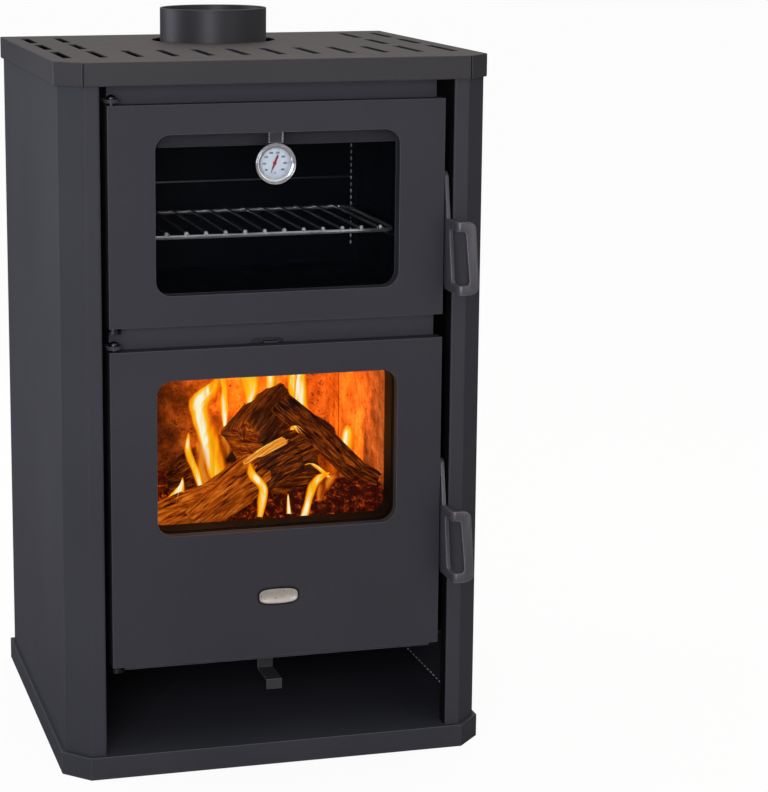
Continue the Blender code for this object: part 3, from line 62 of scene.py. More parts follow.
# camera and light
photoCamera = {
    "place": (-0.7331, -3.008, 1.1491),
    "turn": (79.617, 0.0, -13.978),  # degrees
    "lens": 103.897,
    "shift": (0.17, -0.12),
    "sensorMm": 36.0,
    "nearest": 0.05,
}
bpy.ops.object.camera_add(location=photoCamera["place"], rotation=[math.radians(a) for a in photoCamera["turn"]])
camera = bpy.context.object
camera.data.lens = photoCamera["lens"]
camera.data.sensor_width = photoCamera["sensorMm"]
camera.data.shift_x, camera.data.shift_y = photoCamera["shift"]
camera.data.clip_start = photoCamera["nearest"]
bpy.context.scene.camera = camera
bpy.context.scene.view_settings.view_transform = "Standard"


def linearColour(code):
    # an sRGB hex code as the linear colour that a socket takes
    shades = [int(code[i:i + 2], 16) / 255 for i in (1, 3, 5)]
    return tuple(s / 12.92 if s <= 0.04045 else ((s + 0.055) / 1.055) ** 2.4 for s in shades) + (1.0,)


def perMetre(millimetres):
    # the scale that makes a pattern repeat about once in this many millimetres
    return 1000.0 / millimetres


def feed(tree, node, inputs):
    # links a socket to the node or output given for it, or sets it to a plain value or a hex colour
    for name, value in inputs.items():
        if isinstance(value, str):
            value = linearColour(value)
        if isinstance(value, bpy.types.Node):
            value = value.outputs[0]
        if isinstance(value, bpy.types.NodeSocket):
            tree.links.new(value, node.inputs[name])
        else:
            node.inputs[name].default_value = value


def addNode(tree, kind, inputs=None, settings=None):
    node = tree.nodes.new("ShaderNode" + kind)
    for name, value in (settings or {}).items():
        if name == "stops":
            ramp = node.color_ramp
            while len(ramp.elements) < len(value):
                ramp.elements.new(0.5)
            for element, (spot, shade) in zip(ramp.elements, value):
                element.position = spot
                element.color = linearColour(shade)
        else:
            setattr(node, name, value)
    feed(tree, node, inputs or {})
    return node


# settings that many nodes share
mixColour = {"data_type": "RGBA"}
multiply = {"operation": "MULTIPLY"}
multiplyAdd = {"operation": "MULTIPLY_ADD"}
subtract = {"operation": "SUBTRACT"}
maximum = {"operation": "MAXIMUM"}
absolute = {"operation": "ABSOLUTE"}
dotProduct = {"operation": "DOT_PRODUCT"}
smoothStep = {"interpolation_type": "SMOOTHSTEP"}


def newMaterial(name):
    material = bpy.data.materials.new(name)
    material.use_nodes = True
    tree = material.node_tree
    return material, tree, tree.nodes["Principled BSDF"]


softLight = {
    "room": ("#FFFFFF", 0.10, 0.95),  # colour, strength near the floor and overhead
    "lamps": [
        # place, aims at, width, watts, colour
        ((-1.3, -3.3, 1.3), (0.0, -0.2, 0.6), 1.4, 58.0, "#F4F3FF"),
        ((-2.6, 1.2, 0.70), (-0.3, 0.0, 0.5), 1.8, 37.0, "#EEF0FF"),
        ((-1.2, -1.7, 0.10), (0.0, -0.2, 0.7), 0.5, 2.0, "#FFF4E4"),
        ((1.7, -3.0, 1.1), (0.0, -0.2, 0.6), 1.2, 9.0, "#FFF6EC"),
        ((0.3, 0.9, 3.0), (0.0, 0.0, 0.9), 1.6, 22.0, "#FFE4CC"),
    ],
}
world = bpy.data.worlds.new("studio")
bpy.context.scene.world = world
world.use_nodes = True
tree = world.node_tree
tree.nodes.clear()
way = addNode(tree, "TexCoord")
rise = addNode(tree, "SeparateXYZ", {0: way.outputs["Generated"]})
level = addNode(
    tree, "MapRange",
    {
        "Value": rise.outputs["Z"], "From Min": 0.0, "From Max": 0.9, "To Min": softLight["room"][1],
        "To Max": softLight["room"][2],
    },
)
path = addNode(tree, "LightPath")
seen = addNode(tree, "Math", {0: path.outputs["Is Camera Ray"], 1: path.outputs["Is Transmission Ray"]}, maximum)
room = addNode(tree, "Background", {"Color": softLight["room"][0], "Strength": level})
white = addNode(tree, "Background", {"Color": (1, 1, 1, 1), "Strength": 1.0})
mixed = addNode(tree, "MixShader", {0: seen, 1: room, 2: white})
addNode(tree, "OutputWorld", {"Surface": mixed})

for place, aim, width, watts, shade in softLight["lamps"]:
    bpy.ops.object.light_add(type="AREA", location=place)
    lamp = bpy.context.object
    lamp.rotation_euler = (Vector(aim) - Vector(place)).to_track_quat("-Z", "Y").to_euler()
    lamp.data.size = width
    lamp.data.energy = watts
    lamp.data.color = linearColour(shade)[:3]

paleFloor = {"wide": 60.0, "shade": "#F2F2F0", "rough": 0.9, "whiteShare": 0.93, "inGloss": "#5A5A5C"}
bpy.ops.mesh.primitive_plane_add(size=paleFloor["wide"], location=(0, 0, 0))
floor = bpy.context.object
floor.name = "floor"
floor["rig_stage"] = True
material, tree, shader = newMaterial("pale_floor")
feed(tree, shader, {"Base Color": paleFloor["shade"], "Roughness": paleFloor["rough"]})
path = addNode(tree, "LightPath")
seen = addNode(tree, "Math", {0: path.outputs["Is Camera Ray"], 1: paleFloor["whiteShare"]}, multiply)
glow = addNode(tree, "Emission", {"Color": (1, 1, 1, 1), "Strength": 1.0})
mixed = addNode(tree, "MixShader", {0: seen, 1: shader, 2: glow})
dim = addNode(tree, "BsdfDiffuse", {"Color": paleFloor["inGloss"]})
softened = addNode(tree, "MixShader", {0: path.outputs["Is Glossy Ray"], 1: mixed, 2: dim})
feed(tree, tree.nodes["Material Output"], {"Surface": softened})
floor.data.materials.append(material)
print("camera, lamps and floor set")


# finishes
noiseSpan = {"From Min": 0.3, "From Max": 0.7}  # nearly all values of a noise lie between these


def stovePaint(name, look):
    # high-temperature silicone paint on sheet steel: a dry, close-grained skin that hides the metal and goes a little
    # lighter and shinier along the folds, the lighter edge colour being partly wear and partly a painted highlight
    material, tree, shader = newMaterial(name)
    place = addNode(tree, "TexCoord").outputs["Object"]
    grain = addNode(
        tree, "TexNoise", {"Vector": place, "Scale": perMetre(look["grainMm"]), "Detail": 2.0, "Roughness": 0.6},
    )
    clouds = addNode(
        tree, "TexNoise", {"Vector": place, "Scale": perMetre(look["cloudMm"]), "Detail": 3.0, "Roughness": 0.55},
    )
    blend = addNode(tree, "Math", {0: grain, 1: look["grainShare"], 2: clouds}, multiplyAdd)
    blend = addNode(
        tree, "MapRange",
        {"Value": blend, "From Min": 0.35 + look["grainShare"] * 0.35, "From Max": 0.65 + look["grainShare"] * 0.65},
    )
    skin = addNode(tree, "Mix", {0: blend, 6: look["dark"], 7: look["light"]}, mixColour)
    soft = addNode(tree, "Bevel", {"Radius": look["edgeMm"] / 1000}, {"samples": 6})
    flat = addNode(tree, "NewGeometry")
    facing = addNode(tree, "VectorMath", {0: soft, 1: flat.outputs["True Normal"]}, dotProduct)
    # painted highlight, partly wear: near the edges the skin is mixed towards the lighter edge colour
    edge = addNode(
        tree, "MapRange",
        {
            "Value": facing.outputs["Value"], "From Min": 0.97, "From Max": 0.80, "To Min": 0.0,
            "To Max": look["edgeHighlightShare"],
        },
    )
    wornAndHighlit = addNode(tree, "Mix", {0: edge, 6: skin.outputs[2], 7: look["edge"]}, mixColour)
    colour = wornAndHighlit.outputs[2]
    rough = addNode(
        tree, "MapRange",
        {"Value": clouds, **noiseSpan, "To Min": look["rough"] - 0.05, "To Max": look["rough"] + 0.05},
    )
    for area in look["areas"]:
        read = {
            "place": addNode(tree, "SeparateXYZ", {0: place}),
            "facing": addNode(tree, "SeparateXYZ", {0: flat.outputs["True Normal"]}),
        }
        mask = 1.0
        for what, axis, middle, reach in area["where"]:
            near = addNode(tree, "Math", {0: read[what].outputs[axis], 1: middle, 2: reach}, {"operation": "COMPARE"})
            mask = addNode(tree, "Math", {0: near, 1: mask}, multiply)
        colour = addNode(tree, "Mix", {0: mask, 6: colour, 7: area["shade"]}, mixColour).outputs[2]
        if area["dull"]:
            rough = addNode(tree, "Math", {0: rough, 1: mask}, maximum)
    bump = addNode(
        tree, "Bump",
        {"Strength": look["bump"], "Distance": look["reliefMm"] / 1000, "Height": grain, "Normal": soft},
    )
    feed(
        tree, shader, {"Base Color": colour, "Roughness": rough, "Specular IOR Level": look["shine"], "Normal": bump},
    )
    return material


# the real grain is about 0.2 mm, too fine to show here, so it is drawn at 1.6 mm
# the edge colour is partly wear and partly a painted highlight
paintLook = {
    "dark": "#2A292F", "light": "#302F35", "edge": "#6A6A70", "edgeHighlightShare": 0.75, "edgeMm": 1.6,
    "grainMm": 1.6, "grainShare": 1.4, "cloudMm": 260.0, "rough": 0.56, "bump": 0.10, "shine": 0.28, "reliefMm": 0.3,
    "areas": [],
}
# areas that look different: each test says what is read, on which axis, round which value and how far either way
# painted shade on the cut edges of the fire window: painted dark and made fully rough, so that the firelight hardly
# shows on them
fireRimShade = [
    {
        "shade": "#2C2B2C", "dull": True,
        "where": [("place", "X", 0.0, 0.163), ("place", "Z", 0.4205, 0.1055), ("facing", "Y", 0.0, 0.5)],
    },
]
# painted shade in the open joints where the turned-down edge meets its chamfered corners: near black
openJointShade = [
    {"shade": "#070708", "dull": False, "where": [("place", "X", x, 0.00065), ("facing", "Z", 0.0, 0.5)]}
    for x in (-0.2515, 0.2515)
]
# painted shade on the inward faces of the folded posts: near black, for the deep shade in the gaps beside the doors
postGapShade = [{"shade": "#070708", "dull": False, "where": [("place", "X", 0.0, 0.2325), ("facing", "Y", 0.0, 0.3)]}]
finishes = {
    "doorPaint": stovePaint("silicone_stove_paint_doors", paintLook),
    "fireDoorPaint": stovePaint("silicone_stove_paint_fire_door", {**paintLook, "areas": fireRimShade}),
    "casingPaint": stovePaint("silicone_stove_paint_casing", {**paintLook, "dark": "#2C2D32", "light": "#323339"}),
    "sidePaint": stovePaint(
        "silicone_stove_paint_sides", {**paintLook, "dark": "#2C2D32", "light": "#323339", "areas": postGapShade},
    ),
    # lighter than the door paint: painted light on the front plate strip, which lies in the shade of the flange
    "litPlatePaint": stovePaint(
        "silicone_stove_paint_front_plate", {**paintLook, "dark": "#34333A", "light": "#3B3A41"},
    ),
    # darker than the door paint: painted shade on the flue's sides; its higher gloss is real
    "shadedFluePaint": stovePaint(
        "silicone_stove_paint_flue",
        {**paintLook, "dark": "#202024", "light": "#26262A", "rough": 0.42, "shine": 0.42},
    ),
    # darker than the rest: painted shade in the recessed niche at the foot
    "shadedNichePaint": stovePaint(
        "silicone_stove_paint_niche",
        {**paintLook, "dark": "#141315", "light": "#1A191B", "rough": 0.75, "shine": 0.12},
    ),
    "topPaint": stovePaint(
        "silicone_stove_paint_top",
        {**paintLook, "dark": "#2D2C2E", "light": "#353437", "rough": 0.50, "areas": openJointShade},
    ),
    # lighter than the door paint, with brighter edges: painted light on the handles; their higher gloss is real
    "litHandlePaint": stovePaint(
        "silicone_stove_paint_handles",
        {
            **paintLook, "dark": "#38373C", "light": "#424147", "edge": "#828288", "edgeMm": 1.8, "rough": 0.36,
            "shine": 0.6,
        },
    ),
    "bodyPaint": stovePaint(
        "silicone_stove_paint_body",
        {**paintLook, "dark": "#2A2A2D", "light": "#333336", "rough": 0.66, "shine": 0.3},
    ),
    # near black, so it gives back almost no light: partly soot, partly painted shade that keeps the firelight off
    # these pieces
    "sootAndShadeSteel": stovePaint(
        "soot_and_painted_shade_steel",
        {**paintLook, "dark": "#060505", "light": "#0C0A09", "edge": "#1A1714", "rough": 0.85, "shine": 0.08},
    ),
    # near-white edges on a dark clip: partly wear and partly a painted highlight
    "clipSteel": stovePaint(
        "phosphated_clip_steel",
        {**paintLook, "dark": "#252528", "light": "#323235", "edge": "#C4C4C8", "edgeHighlightShare": 1.0, "edgeMm": 1.4},
    ),
}


def ovenEnamel(name, look):
    # black vitreous enamel baked on steel: near black with a faint blue cast, smooth, with a slight orange-peel
    # ripple
    material, tree, shader = newMaterial(name)
    place = addNode(tree, "TexCoord").outputs["Object"]
    ripple = addNode(tree, "TexNoise", {"Vector": place, "Scale": perMetre(look["rippleMm"]), "Detail": 1.0})
    drift = addNode(tree, "TexNoise", {"Vector": place, "Scale": perMetre(look["driftMm"]), "Detail": 3.0})
    shade = addNode(tree, "Mix", {0: drift, 6: look["dark"], 7: look["light"]}, mixColour)
    rough = addNode(
        tree, "MapRange",
        {"Value": drift, **noiseSpan, "To Min": look["rough"] - 0.06, "To Max": look["rough"] + 0.06},
    )
    soft = addNode(tree, "Bevel", {"Radius": look["edgeMm"] / 1000}, {"samples": 4})
    bump = addNode(
        tree, "Bump", {"Strength": 0.12, "Distance": look["reliefMm"] / 1000, "Height": ripple, "Normal": soft},
    )
    feed(
        tree, shader,
        {"Base Color": shade.outputs[2], "Roughness": rough, "Specular IOR Level": look["shine"], "Normal": bump},
    )
    return material


finishes["enamel"] = ovenEnamel("vitreous_oven_enamel", {
    "dark": "#02040A", "light": "#050A16", "rippleMm": 9.0, "driftMm": 60.0, "edgeMm": 1.5, "reliefMm": 0.3,
    "rough": 0.42, "shine": 0.12,
})


def platedMetal(name, look):
    # plated steel: bright metal whose skin is crossed by fine rubbing marks and dulled in patches by handling and
    # heat
    material, tree, shader = newMaterial(name)
    place = addNode(tree, "TexCoord").outputs["Object"]
    patches = addNode(tree, "TexNoise", {"Vector": place, "Scale": perMetre(look["patchMm"]), "Detail": 4.0})
    marks = addNode(tree, "TexNoise", {"Vector": place, "Scale": perMetre(look["markMm"]), "Detail": 2.0})
    shade = addNode(tree, "Mix", {0: patches, 6: look["dark"], 7: look["light"]}, mixColour)
    rough = addNode(
        tree, "MapRange", {"Value": patches, **noiseSpan, "To Min": look["rough"][0], "To Max": look["rough"][1]},
    )
    soft = addNode(tree, "Bevel", {"Radius": look["edgeMm"] / 1000}, {"samples": 4})
    bump = addNode(
        tree, "Bump",
        {"Strength": look["bump"], "Distance": look["reliefMm"] / 1000, "Height": marks, "Normal": soft},
    )
    feed(
        tree, shader, {"Base Color": shade.outputs[2], "Metallic": look["metal"], "Roughness": rough, "Normal": bump},
    )
    return material


plateLook = {"edgeMm": 0.5, "reliefMm": 0.2, "metal": 1.0}
finishes["chrome"] = platedMetal("chromium_plate", {
    **plateLook, "dark": "#C8CACE", "light": "#F0F1F4", "patchMm": 14.0, "markMm": 1.2, "rough": (0.14, 0.26),
    "bump": 0.05, "metal": 0.86,
})
finishes["zinc"] = platedMetal("zinc_plate", {
    **plateLook, "dark": "#77797D", "light": "#A0A2A6", "patchMm": 6.0, "markMm": 1.0, "rough": (0.32, 0.48),
    "bump": 0.15,
})
# near-white weld metal: partly the bare metal's own brightness, partly a painted highlight
finishes["weldHighlightSteel"] = platedMetal("weld_metal_painted_highlight", {
    **plateLook, "dark": "#E4E6EA", "light": "#FAFAFC", "patchMm": 2.0, "markMm": 0.8, "rough": (0.16, 0.28),
    "bump": 0.1, "metal": 0.35,
})
finishes["blackSteel"] = platedMetal("oil_blackened_steel", {
    **plateLook, "dark": "#2C2C2F", "light": "#55555A", "patchMm": 5.0, "markMm": 0.8, "rough": (0.30, 0.42),
    "bump": 0.15,
})
finishes["nickel"] = platedMetal("satin_nickel_plate", {
    **plateLook, "dark": "#A39B90", "light": "#CDC6BB", "patchMm": 4.0, "markMm": 0.9, "rough": (0.26, 0.40),
    "bump": 0.25, "metal": 0.5,
})


def castIron(name, look):
    # sand-cast iron: dark grey and pebbled by the mould, with a brown bloom of rust in the low places
    material, tree, shader = newMaterial(name)
    place = addNode(tree, "TexCoord").outputs["Object"]
    sand = addNode(
        tree, "TexNoise", {"Vector": place, "Scale": perMetre(look["sandMm"]), "Detail": 5.0, "Roughness": 0.65},
    )
    bloom = addNode(tree, "TexNoise", {"Vector": place, "Scale": perMetre(look["bloomMm"]), "Detail": 3.0})
    share = addNode(
        tree, "MapRange", {"Value": bloom, "From Min": 0.52, "From Max": 0.72, "To Min": 0.0, "To Max": 0.6},
    )
    shade = addNode(tree, "Mix", {0: share, 6: look["iron"], 7: look["rust"]}, mixColour)
    bump = addNode(tree, "Bump", {"Strength": 0.5, "Distance": look["reliefMm"] / 1000, "Height": sand})
    feed(tree, shader, {"Base Color": shade.outputs[2], "Roughness": 0.72, "Specular IOR Level": 0.3, "Normal": bump})
    return material


finishes["castIron"] = castIron(
    "sand_cast_iron", {"iron": "#2A2928", "rust": "#43302A", "sandMm": 2.5, "bloomMm": 30.0, "reliefMm": 0.8},
)


def fireclayBrick(name, look):
    # pressed fireclay slab: dry tan clay with dark grog specks, a few craze cracks, and a ragged darkening towards
    # the left and the top
    material, tree, shader = newMaterial(name)
    place = addNode(tree, "TexCoord").outputs["Object"]
    stain = addNode(
        tree, "TexNoise", {"Vector": place, "Scale": perMetre(look["stainMm"]), "Detail": 6.0, "Roughness": 0.68},
    )
    grog = addNode(tree, "TexNoise", {"Vector": place, "Scale": perMetre(look["grogMm"]), "Detail": 3.0})
    clay = addNode(
        tree, "ValToRGB", {0: stain}, {"stops": [(0.30, look["deep"]), (0.47, look["clay"]), (0.60, look["pale"])]},
    )
    specks = addNode(
        tree, "MapRange", {"Value": grog, "From Min": 0.60, "From Max": 0.68, "To Min": 0.0, "To Max": 0.85},
    )
    speckled = addNode(tree, "Mix", {0: specks, 6: clay, 7: look["darkest"]}, mixColour)
    warp = addNode(tree, "Mix", {0: 0.045, 4: place, 5: stain.outputs["Color"]}, {"data_type": "VECTOR"})
    cells = addNode(
        tree, "TexVoronoi", {"Vector": warp.outputs[1], "Scale": perMetre(look["crazeMm"])},
        {"feature": "DISTANCE_TO_EDGE"},
    )
    craze = addNode(
        tree, "MapRange",
        {"Value": cells.outputs["Distance"], "From Min": 0.004, "From Max": 0.018, "To Min": 1.0, "To Max": 0.0},
    )
    gate = addNode(
        tree, "MapRange", {"Value": stain, "From Min": 0.53, "From Max": 0.62, "To Min": 0.0, "To Max": 0.7},
    )
    craze = addNode(tree, "Math", {0: craze, 1: gate}, multiply)
    crazed = addNode(tree, "Mix", {0: craze, 6: speckled.outputs[2], 7: look["darkest"]}, mixColour)
    parts = addNode(tree, "SeparateXYZ", {0: place})
    joint = addNode(tree, "Math", {0: parts.outputs[look["jointAxis"]], 1: look["jointAt"]}, subtract)
    joint = addNode(tree, "Math", {0: joint}, absolute)
    joint = addNode(
        tree, "MapRange", {"Value": joint, "From Min": 0.0012, "From Max": 0.0030, "To Min": 0.9, "To Max": 0.0},
    )
    jointed = addNode(tree, "Mix", {0: joint, 6: crazed.outputs[2], 7: look["darkest"]}, mixColour)
    darkerUp = addNode(tree, "Math", {0: stain, 1: 0.12, 2: parts.outputs["Z"]}, multiplyAdd)
    darkerUp = addNode(
        tree, "MapRange", {"Value": darkerUp, "From Min": 0.56, "From Max": 0.64, "To Min": 0.0, "To Max": 0.8},
    )
    drift = addNode(tree, "Math", {0: stain, 1: look["driftMm"] / 1000, 2: parts.outputs["X"]}, multiplyAdd)
    drift = addNode(
        tree, "MapRange",
        {
            "Value": drift, "From Min": look["darkAt"][0], "From Max": look["darkAt"][1], "To Min": look["darkShare"],
            "To Max": 0.0,
        },
        smoothStep,
    )
    darkerUp = addNode(tree, "Math", {0: darkerUp, 1: drift}, maximum)
    darkened = addNode(tree, "Mix", {0: darkerUp, 6: jointed.outputs[2], 7: look["darkest"]}, mixColour)
    height = addNode(tree, "Math", {0: grog, 1: craze}, subtract)
    height = addNode(tree, "Math", {0: height, 1: joint}, subtract)
    bump = addNode(tree, "Bump", {"Strength": 0.6, "Distance": look["reliefMm"] / 1000, "Height": height})
    feed(
        tree, shader,
        {"Base Color": darkened.outputs[2], "Roughness": 0.95, "Specular IOR Level": 0.15, "Normal": bump},
    )
    return material


clayLook = {
    "deep": "#6A3A18", "clay": "#B4733C", "pale": "#DFA05C", "darkest": "#1A0F09", "stainMm": 42.0, "grogMm": 4.0,
    "crazeMm": 60.0, "reliefMm": 1.2,
    "jointAxis": "X", "jointAt": 0.30, "driftMm": 180.0, "darkAt": (0.0, 0.15), "darkShare": 0.88,
}
finishes["brickBack"] = fireclayBrick("fireclay_back", clayLook)
finishes["brickSide"] = fireclayBrick("fireclay_side", {**clayLook, "jointAxis": "Y", "jointAt": 0.14})


def ceramicGlass(name, look):
    # clear glass ceramic pane: nearly invisible, with a faint smoke-brown film and sharp reflections
    material, tree, shader = newMaterial(name)
    place = addNode(tree, "TexCoord").outputs["Object"]
    film = addNode(tree, "TexNoise", {"Vector": place, "Scale": perMetre(look["filmMm"]), "Detail": 2.0})
    rough = addNode(tree, "MapRange", {"Value": film, **noiseSpan, "To Min": 0.02, "To Max": 0.06})
    feed(
        tree, shader,
        {"Base Color": look["tint"], "Roughness": rough, "Specular IOR Level": look["shine"], "Alpha": look["cover"]},
    )
    return material


finishes["ovenGlass"] = ceramicGlass(
    "glass_ceramic_oven", {"tint": "#07090C", "cover": 0.16, "filmMm": 60.0, "shine": 0.25},
)
finishes["fireGlass"] = ceramicGlass(
    "glass_ceramic_fire", {"tint": "#0B0806", "cover": 0.08, "filmMm": 60.0, "shine": 0.18},
)
finishes["dialGlass"] = ceramicGlass(
    "soda_lime_dial_glass", {"tint": "#2A3036", "cover": 0.04, "filmMm": 20.0, "shine": 0.4},
)


def knittedRope(name, look):
    # knitted glass fibre rope, graphited dark grey: rows of little slanting stitches
    material, tree, shader = newMaterial(name)
    along = addNode(tree, "UVMap", None, {"uv_map": "UVMap"}).outputs[0]
    parts = addNode(tree, "SeparateXYZ", {0: along})
    lean = addNode(tree, "Math", {0: parts.outputs["Y"], 1: 0.125}, {"operation": "PINGPONG"})
    slant = addNode(tree, "Math", {0: lean, 1: look["stitchMm"] / 1000 * 6, 2: parts.outputs["X"]}, multiplyAdd)
    wave = addNode(tree, "Math", {0: slant, 1: 2 * math.pi * perMetre(look["stitchMm"])}, multiply)
    wave = addNode(tree, "Math", {0: wave}, {"operation": "SINE"})
    height = addNode(tree, "MapRange", {"Value": wave, "From Min": -1.0, "From Max": 1.0})
    shade = addNode(tree, "Mix", {0: height, 6: look["dark"], 7: look["light"]}, mixColour)
    bump = addNode(tree, "Bump", {"Strength": 0.8, "Distance": look["reliefMm"] / 1000, "Height": height})
    feed(tree, shader, {"Base Color": shade.outputs[2], "Roughness": 0.9, "Normal": bump})
    return material


finishes["rope"] = knittedRope(
    "knitted_glass_fibre", {"dark": "#17171A", "light": "#5B5C60", "stitchMm": 4.0, "reliefMm": 1.2},
)


def printedDial(name, look):
    # lacquered dial card: flat pale blue-white with a faint speckle
    material, tree, shader = newMaterial(name)
    place = addNode(tree, "TexCoord").outputs["Object"]
    fleck = addNode(tree, "TexNoise", {"Vector": place, "Scale": perMetre(look["fleckMm"]), "Detail": 2.0})
    shade = addNode(tree, "Mix", {0: fleck, 6: look["dark"], 7: look["light"]}, mixColour)
    feed(tree, shader, {"Base Color": shade.outputs[2], "Roughness": look["rough"]})
    return material


finishes["dial"] = printedDial(
    "lacquered_dial_card", {"dark": "#B4C3D0", "light": "#D3DEE8", "fleckMm": 4.0, "rough": 0.4},
)
finishes["dialInk"] = printedDial(
    "dial_printing_ink", {"dark": "#33373F", "light": "#474C55", "fleckMm": 1.0, "rough": 0.6},
)
finishes["needleRed"] = printedDial(
    "red_needle_enamel", {"dark": "#8C0A12", "light": "#B0121C", "fleckMm": 2.0, "rough": 0.35},
)
print("finishes ready:", len(finishes))


# CAD pieces that keep their shape
finishOf = {
    "fireDoorPaint": ["fire_door_panel"],
    "litHandlePaint": ["oven_latch_handle", "fire_latch_handle"],
    "doorPaint": ["oven_door_panel", "oven_hinge_lug_top", "fire_hinge_lug_top"],
    "litPlatePaint": ["front_plate"],
    "sidePaint": ["side_panel_left", "side_panel_right"],
    "casingPaint": ["base_plinth", "rear_panel"],
    "shadedFluePaint": ["flue_collar"],
    "shadedNichePaint": ["hearth_plate"],
    "topPaint": ["top_plate"],
    "bodyPaint": [
        "body_shell", "support_angle_left", "support_angle_right", "oven_door_liner",
        "air_slide", "air_slide_guide_left", "air_slide_guide_right",
        "wash_air_slide", "wash_air_guide", "ash_pan_runner_left", "ash_pan_runner_right", "ash_pan",
    ],
    "sootAndShadeSteel": ["fire_mouth_tunnel", "fire_door_liner"],
    "enamel": ["oven_box", "rack_rail_left", "rack_rail_right"],
    "brickBack": ["brick_back", "baffle_slab"],
    "brickSide": ["brick_left", "brick_right"],
    "chrome": ["oven_rack"],
    "zinc": ["oven_liner_screw_left", "oven_liner_screw_right", "fire_liner_screw_left", "fire_liner_screw_right"],
    "blackSteel": [
        "oven_hinge_pin_top", "oven_hinge_pintle", "fire_hinge_pin_top", "fire_hinge_pintle", "oven_latch_pivot",
        "fire_latch_pivot",
        "oven_latch_keeper", "fire_latch_keeper",
    ],
    "clipSteel": ["thermometer_clip"],
    "ovenGlass": ["oven_glass"],
    "fireGlass": ["fire_glass"],
    "dialGlass": ["thermometer_lens"],
    "dial": ["thermometer_dial"],
    "needleRed": ["thermometer_pointer"],
    "rope": ["oven_door_gasket", "fire_door_gasket"],
    "nickel": ["badge_plate"],
    "castIron": ["grate", "fuel_load"],
}
for finish, names in finishOf.items():
    for name in names:
        node = nodes[name]
        if not node.material_slots:
            node.data.materials.append(None)
        for slot in node.material_slots:
            slot.material = finishes[finish]
painted = {name for names in finishOf.values() for name in names}
leftOver = [name for name in nodes if name not in painted]
print("nodes with a finish:", len(nodes) - len(leftOver), "left:", leftOver)


# making pieces
def deselectAll():
    if bpy.context.mode != "OBJECT":
        bpy.ops.object.mode_set(mode="OBJECT")
    bpy.ops.object.select_all(action="DESELECT")


def takeUp(piece):
    deselectAll()
    piece.select_set(True)
    bpy.context.view_layer.objects.active = piece


def useModifier(piece, kind, settings):
    takeUp(piece)
    modifier = piece.modifiers.new(kind.lower(), kind)
    for name, value in settings.items():
        setattr(modifier, name, value)
    bpy.ops.object.modifier_apply(modifier=modifier.name)


def faceOutwards(piece):
    takeUp(piece)
    bpy.ops.object.mode_set(mode="EDIT")
    bpy.ops.mesh.select_all(action="SELECT")
    bpy.ops.mesh.normals_make_consistent(inside=False)
    bpy.ops.object.mode_set(mode="OBJECT")


def joinUp(pieces, lead):
    # makes one object of many, each with its place in its mesh first
    deselectAll()
    for piece in pieces:
        piece.select_set(True)
    bpy.context.view_layer.objects.active = lead
    bpy.ops.object.transform_apply(location=True, rotation=True, scale=True)
    bpy.ops.object.join()
    return bpy.context.object


def meshPiece(name, points, faces, uvs):
    # an object from lists, with one UV pair for each corner of each face
    mesh = bpy.data.meshes.new(name)
    mesh.from_pydata(points, [], faces)
    layer = mesh.uv_layers.new(name="UVMap")
    for loop, uv in zip(layer.data, uvs):
        loop.uv = uv
    piece = bpy.data.objects.new(name, mesh)
    bpy.context.scene.collection.objects.link(piece)
    faceOutwards(piece)
    return piece


def settle(piece, name, body, finish, smoothAngle=None):
    # puts the place in the mesh, then names, paints and hangs the piece on its body
    takeUp(piece)
    bpy.ops.object.transform_apply(location=True, rotation=True, scale=True)
    piece.name = name
    piece.data.name = name
    piece.data.materials.clear()
    piece.data.materials.append(finishes[finish])
    if smoothAngle:
        bpy.ops.object.shade_smooth_by_angle(angle=math.radians(smoothAngle))
    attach(piece, body)


def smoothCopy(nodeName, name, body, finish, look):
    # a copy of a CAD node, welded, with its sharp edges eased by a real bevel
    source = nodes[nodeName]
    deselectAll()
    piece = source.copy()
    piece.data = source.data.copy()
    piece.parent = None
    piece.matrix_world = Matrix.Identity(4)
    for key in [k for k in piece.keys() if k.startswith("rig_")]:
        del piece[key]
    bpy.context.scene.collection.objects.link(piece)
    takeUp(piece)
    bpy.ops.object.mode_set(mode="EDIT")
    bpy.ops.mesh.select_all(action="SELECT")
    bpy.ops.mesh.remove_doubles(threshold=0.00001)
    bpy.ops.mesh.customdata_custom_splitnormals_clear()
    bpy.ops.mesh.dissolve_limited(angle_limit=math.radians(0.5))
    bpy.ops.object.mode_set(mode="OBJECT")
    if look.get("bevelMm"):
        useModifier(piece, "BEVEL", {
            "width": look["bevelMm"] / 1000, "segments": look.get("segments", 2), "limit_method": "ANGLE",
            "angle_limit": math.radians(look.get("sharp", 40)), "use_clamp_overlap": True, "harden_normals": False,
        })
    settle(piece, name, body, finish, look.get("smooth", 38))
    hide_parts(nodeName)


for nodeName, body in (("oven_latch_handle", "oven_latch"), ("fire_latch_handle", "fire_latch")):
    smoothCopy(
        nodeName, nodeName + "_eased", body, "litHandlePaint", {"bevelMm": 1.1, "segments": 3},
    )
smoothCopy(
    "flue_collar", "flue_collar_eased", "cabinet", "shadedFluePaint", {"bevelMm": 0.7, "sharp": 50},
)
smoothCopy("oven_rack", "oven_rack_round", "oven_rack", "chrome", {"smooth": 60})
for nodeName in ("oven_hinge_pin_top", "oven_hinge_pintle", "fire_hinge_pin_top", "fire_hinge_pintle"):
    smoothCopy(nodeName, nodeName + "_round", "cabinet", "blackSteel", {"smooth": 45})
print("eased copies made")


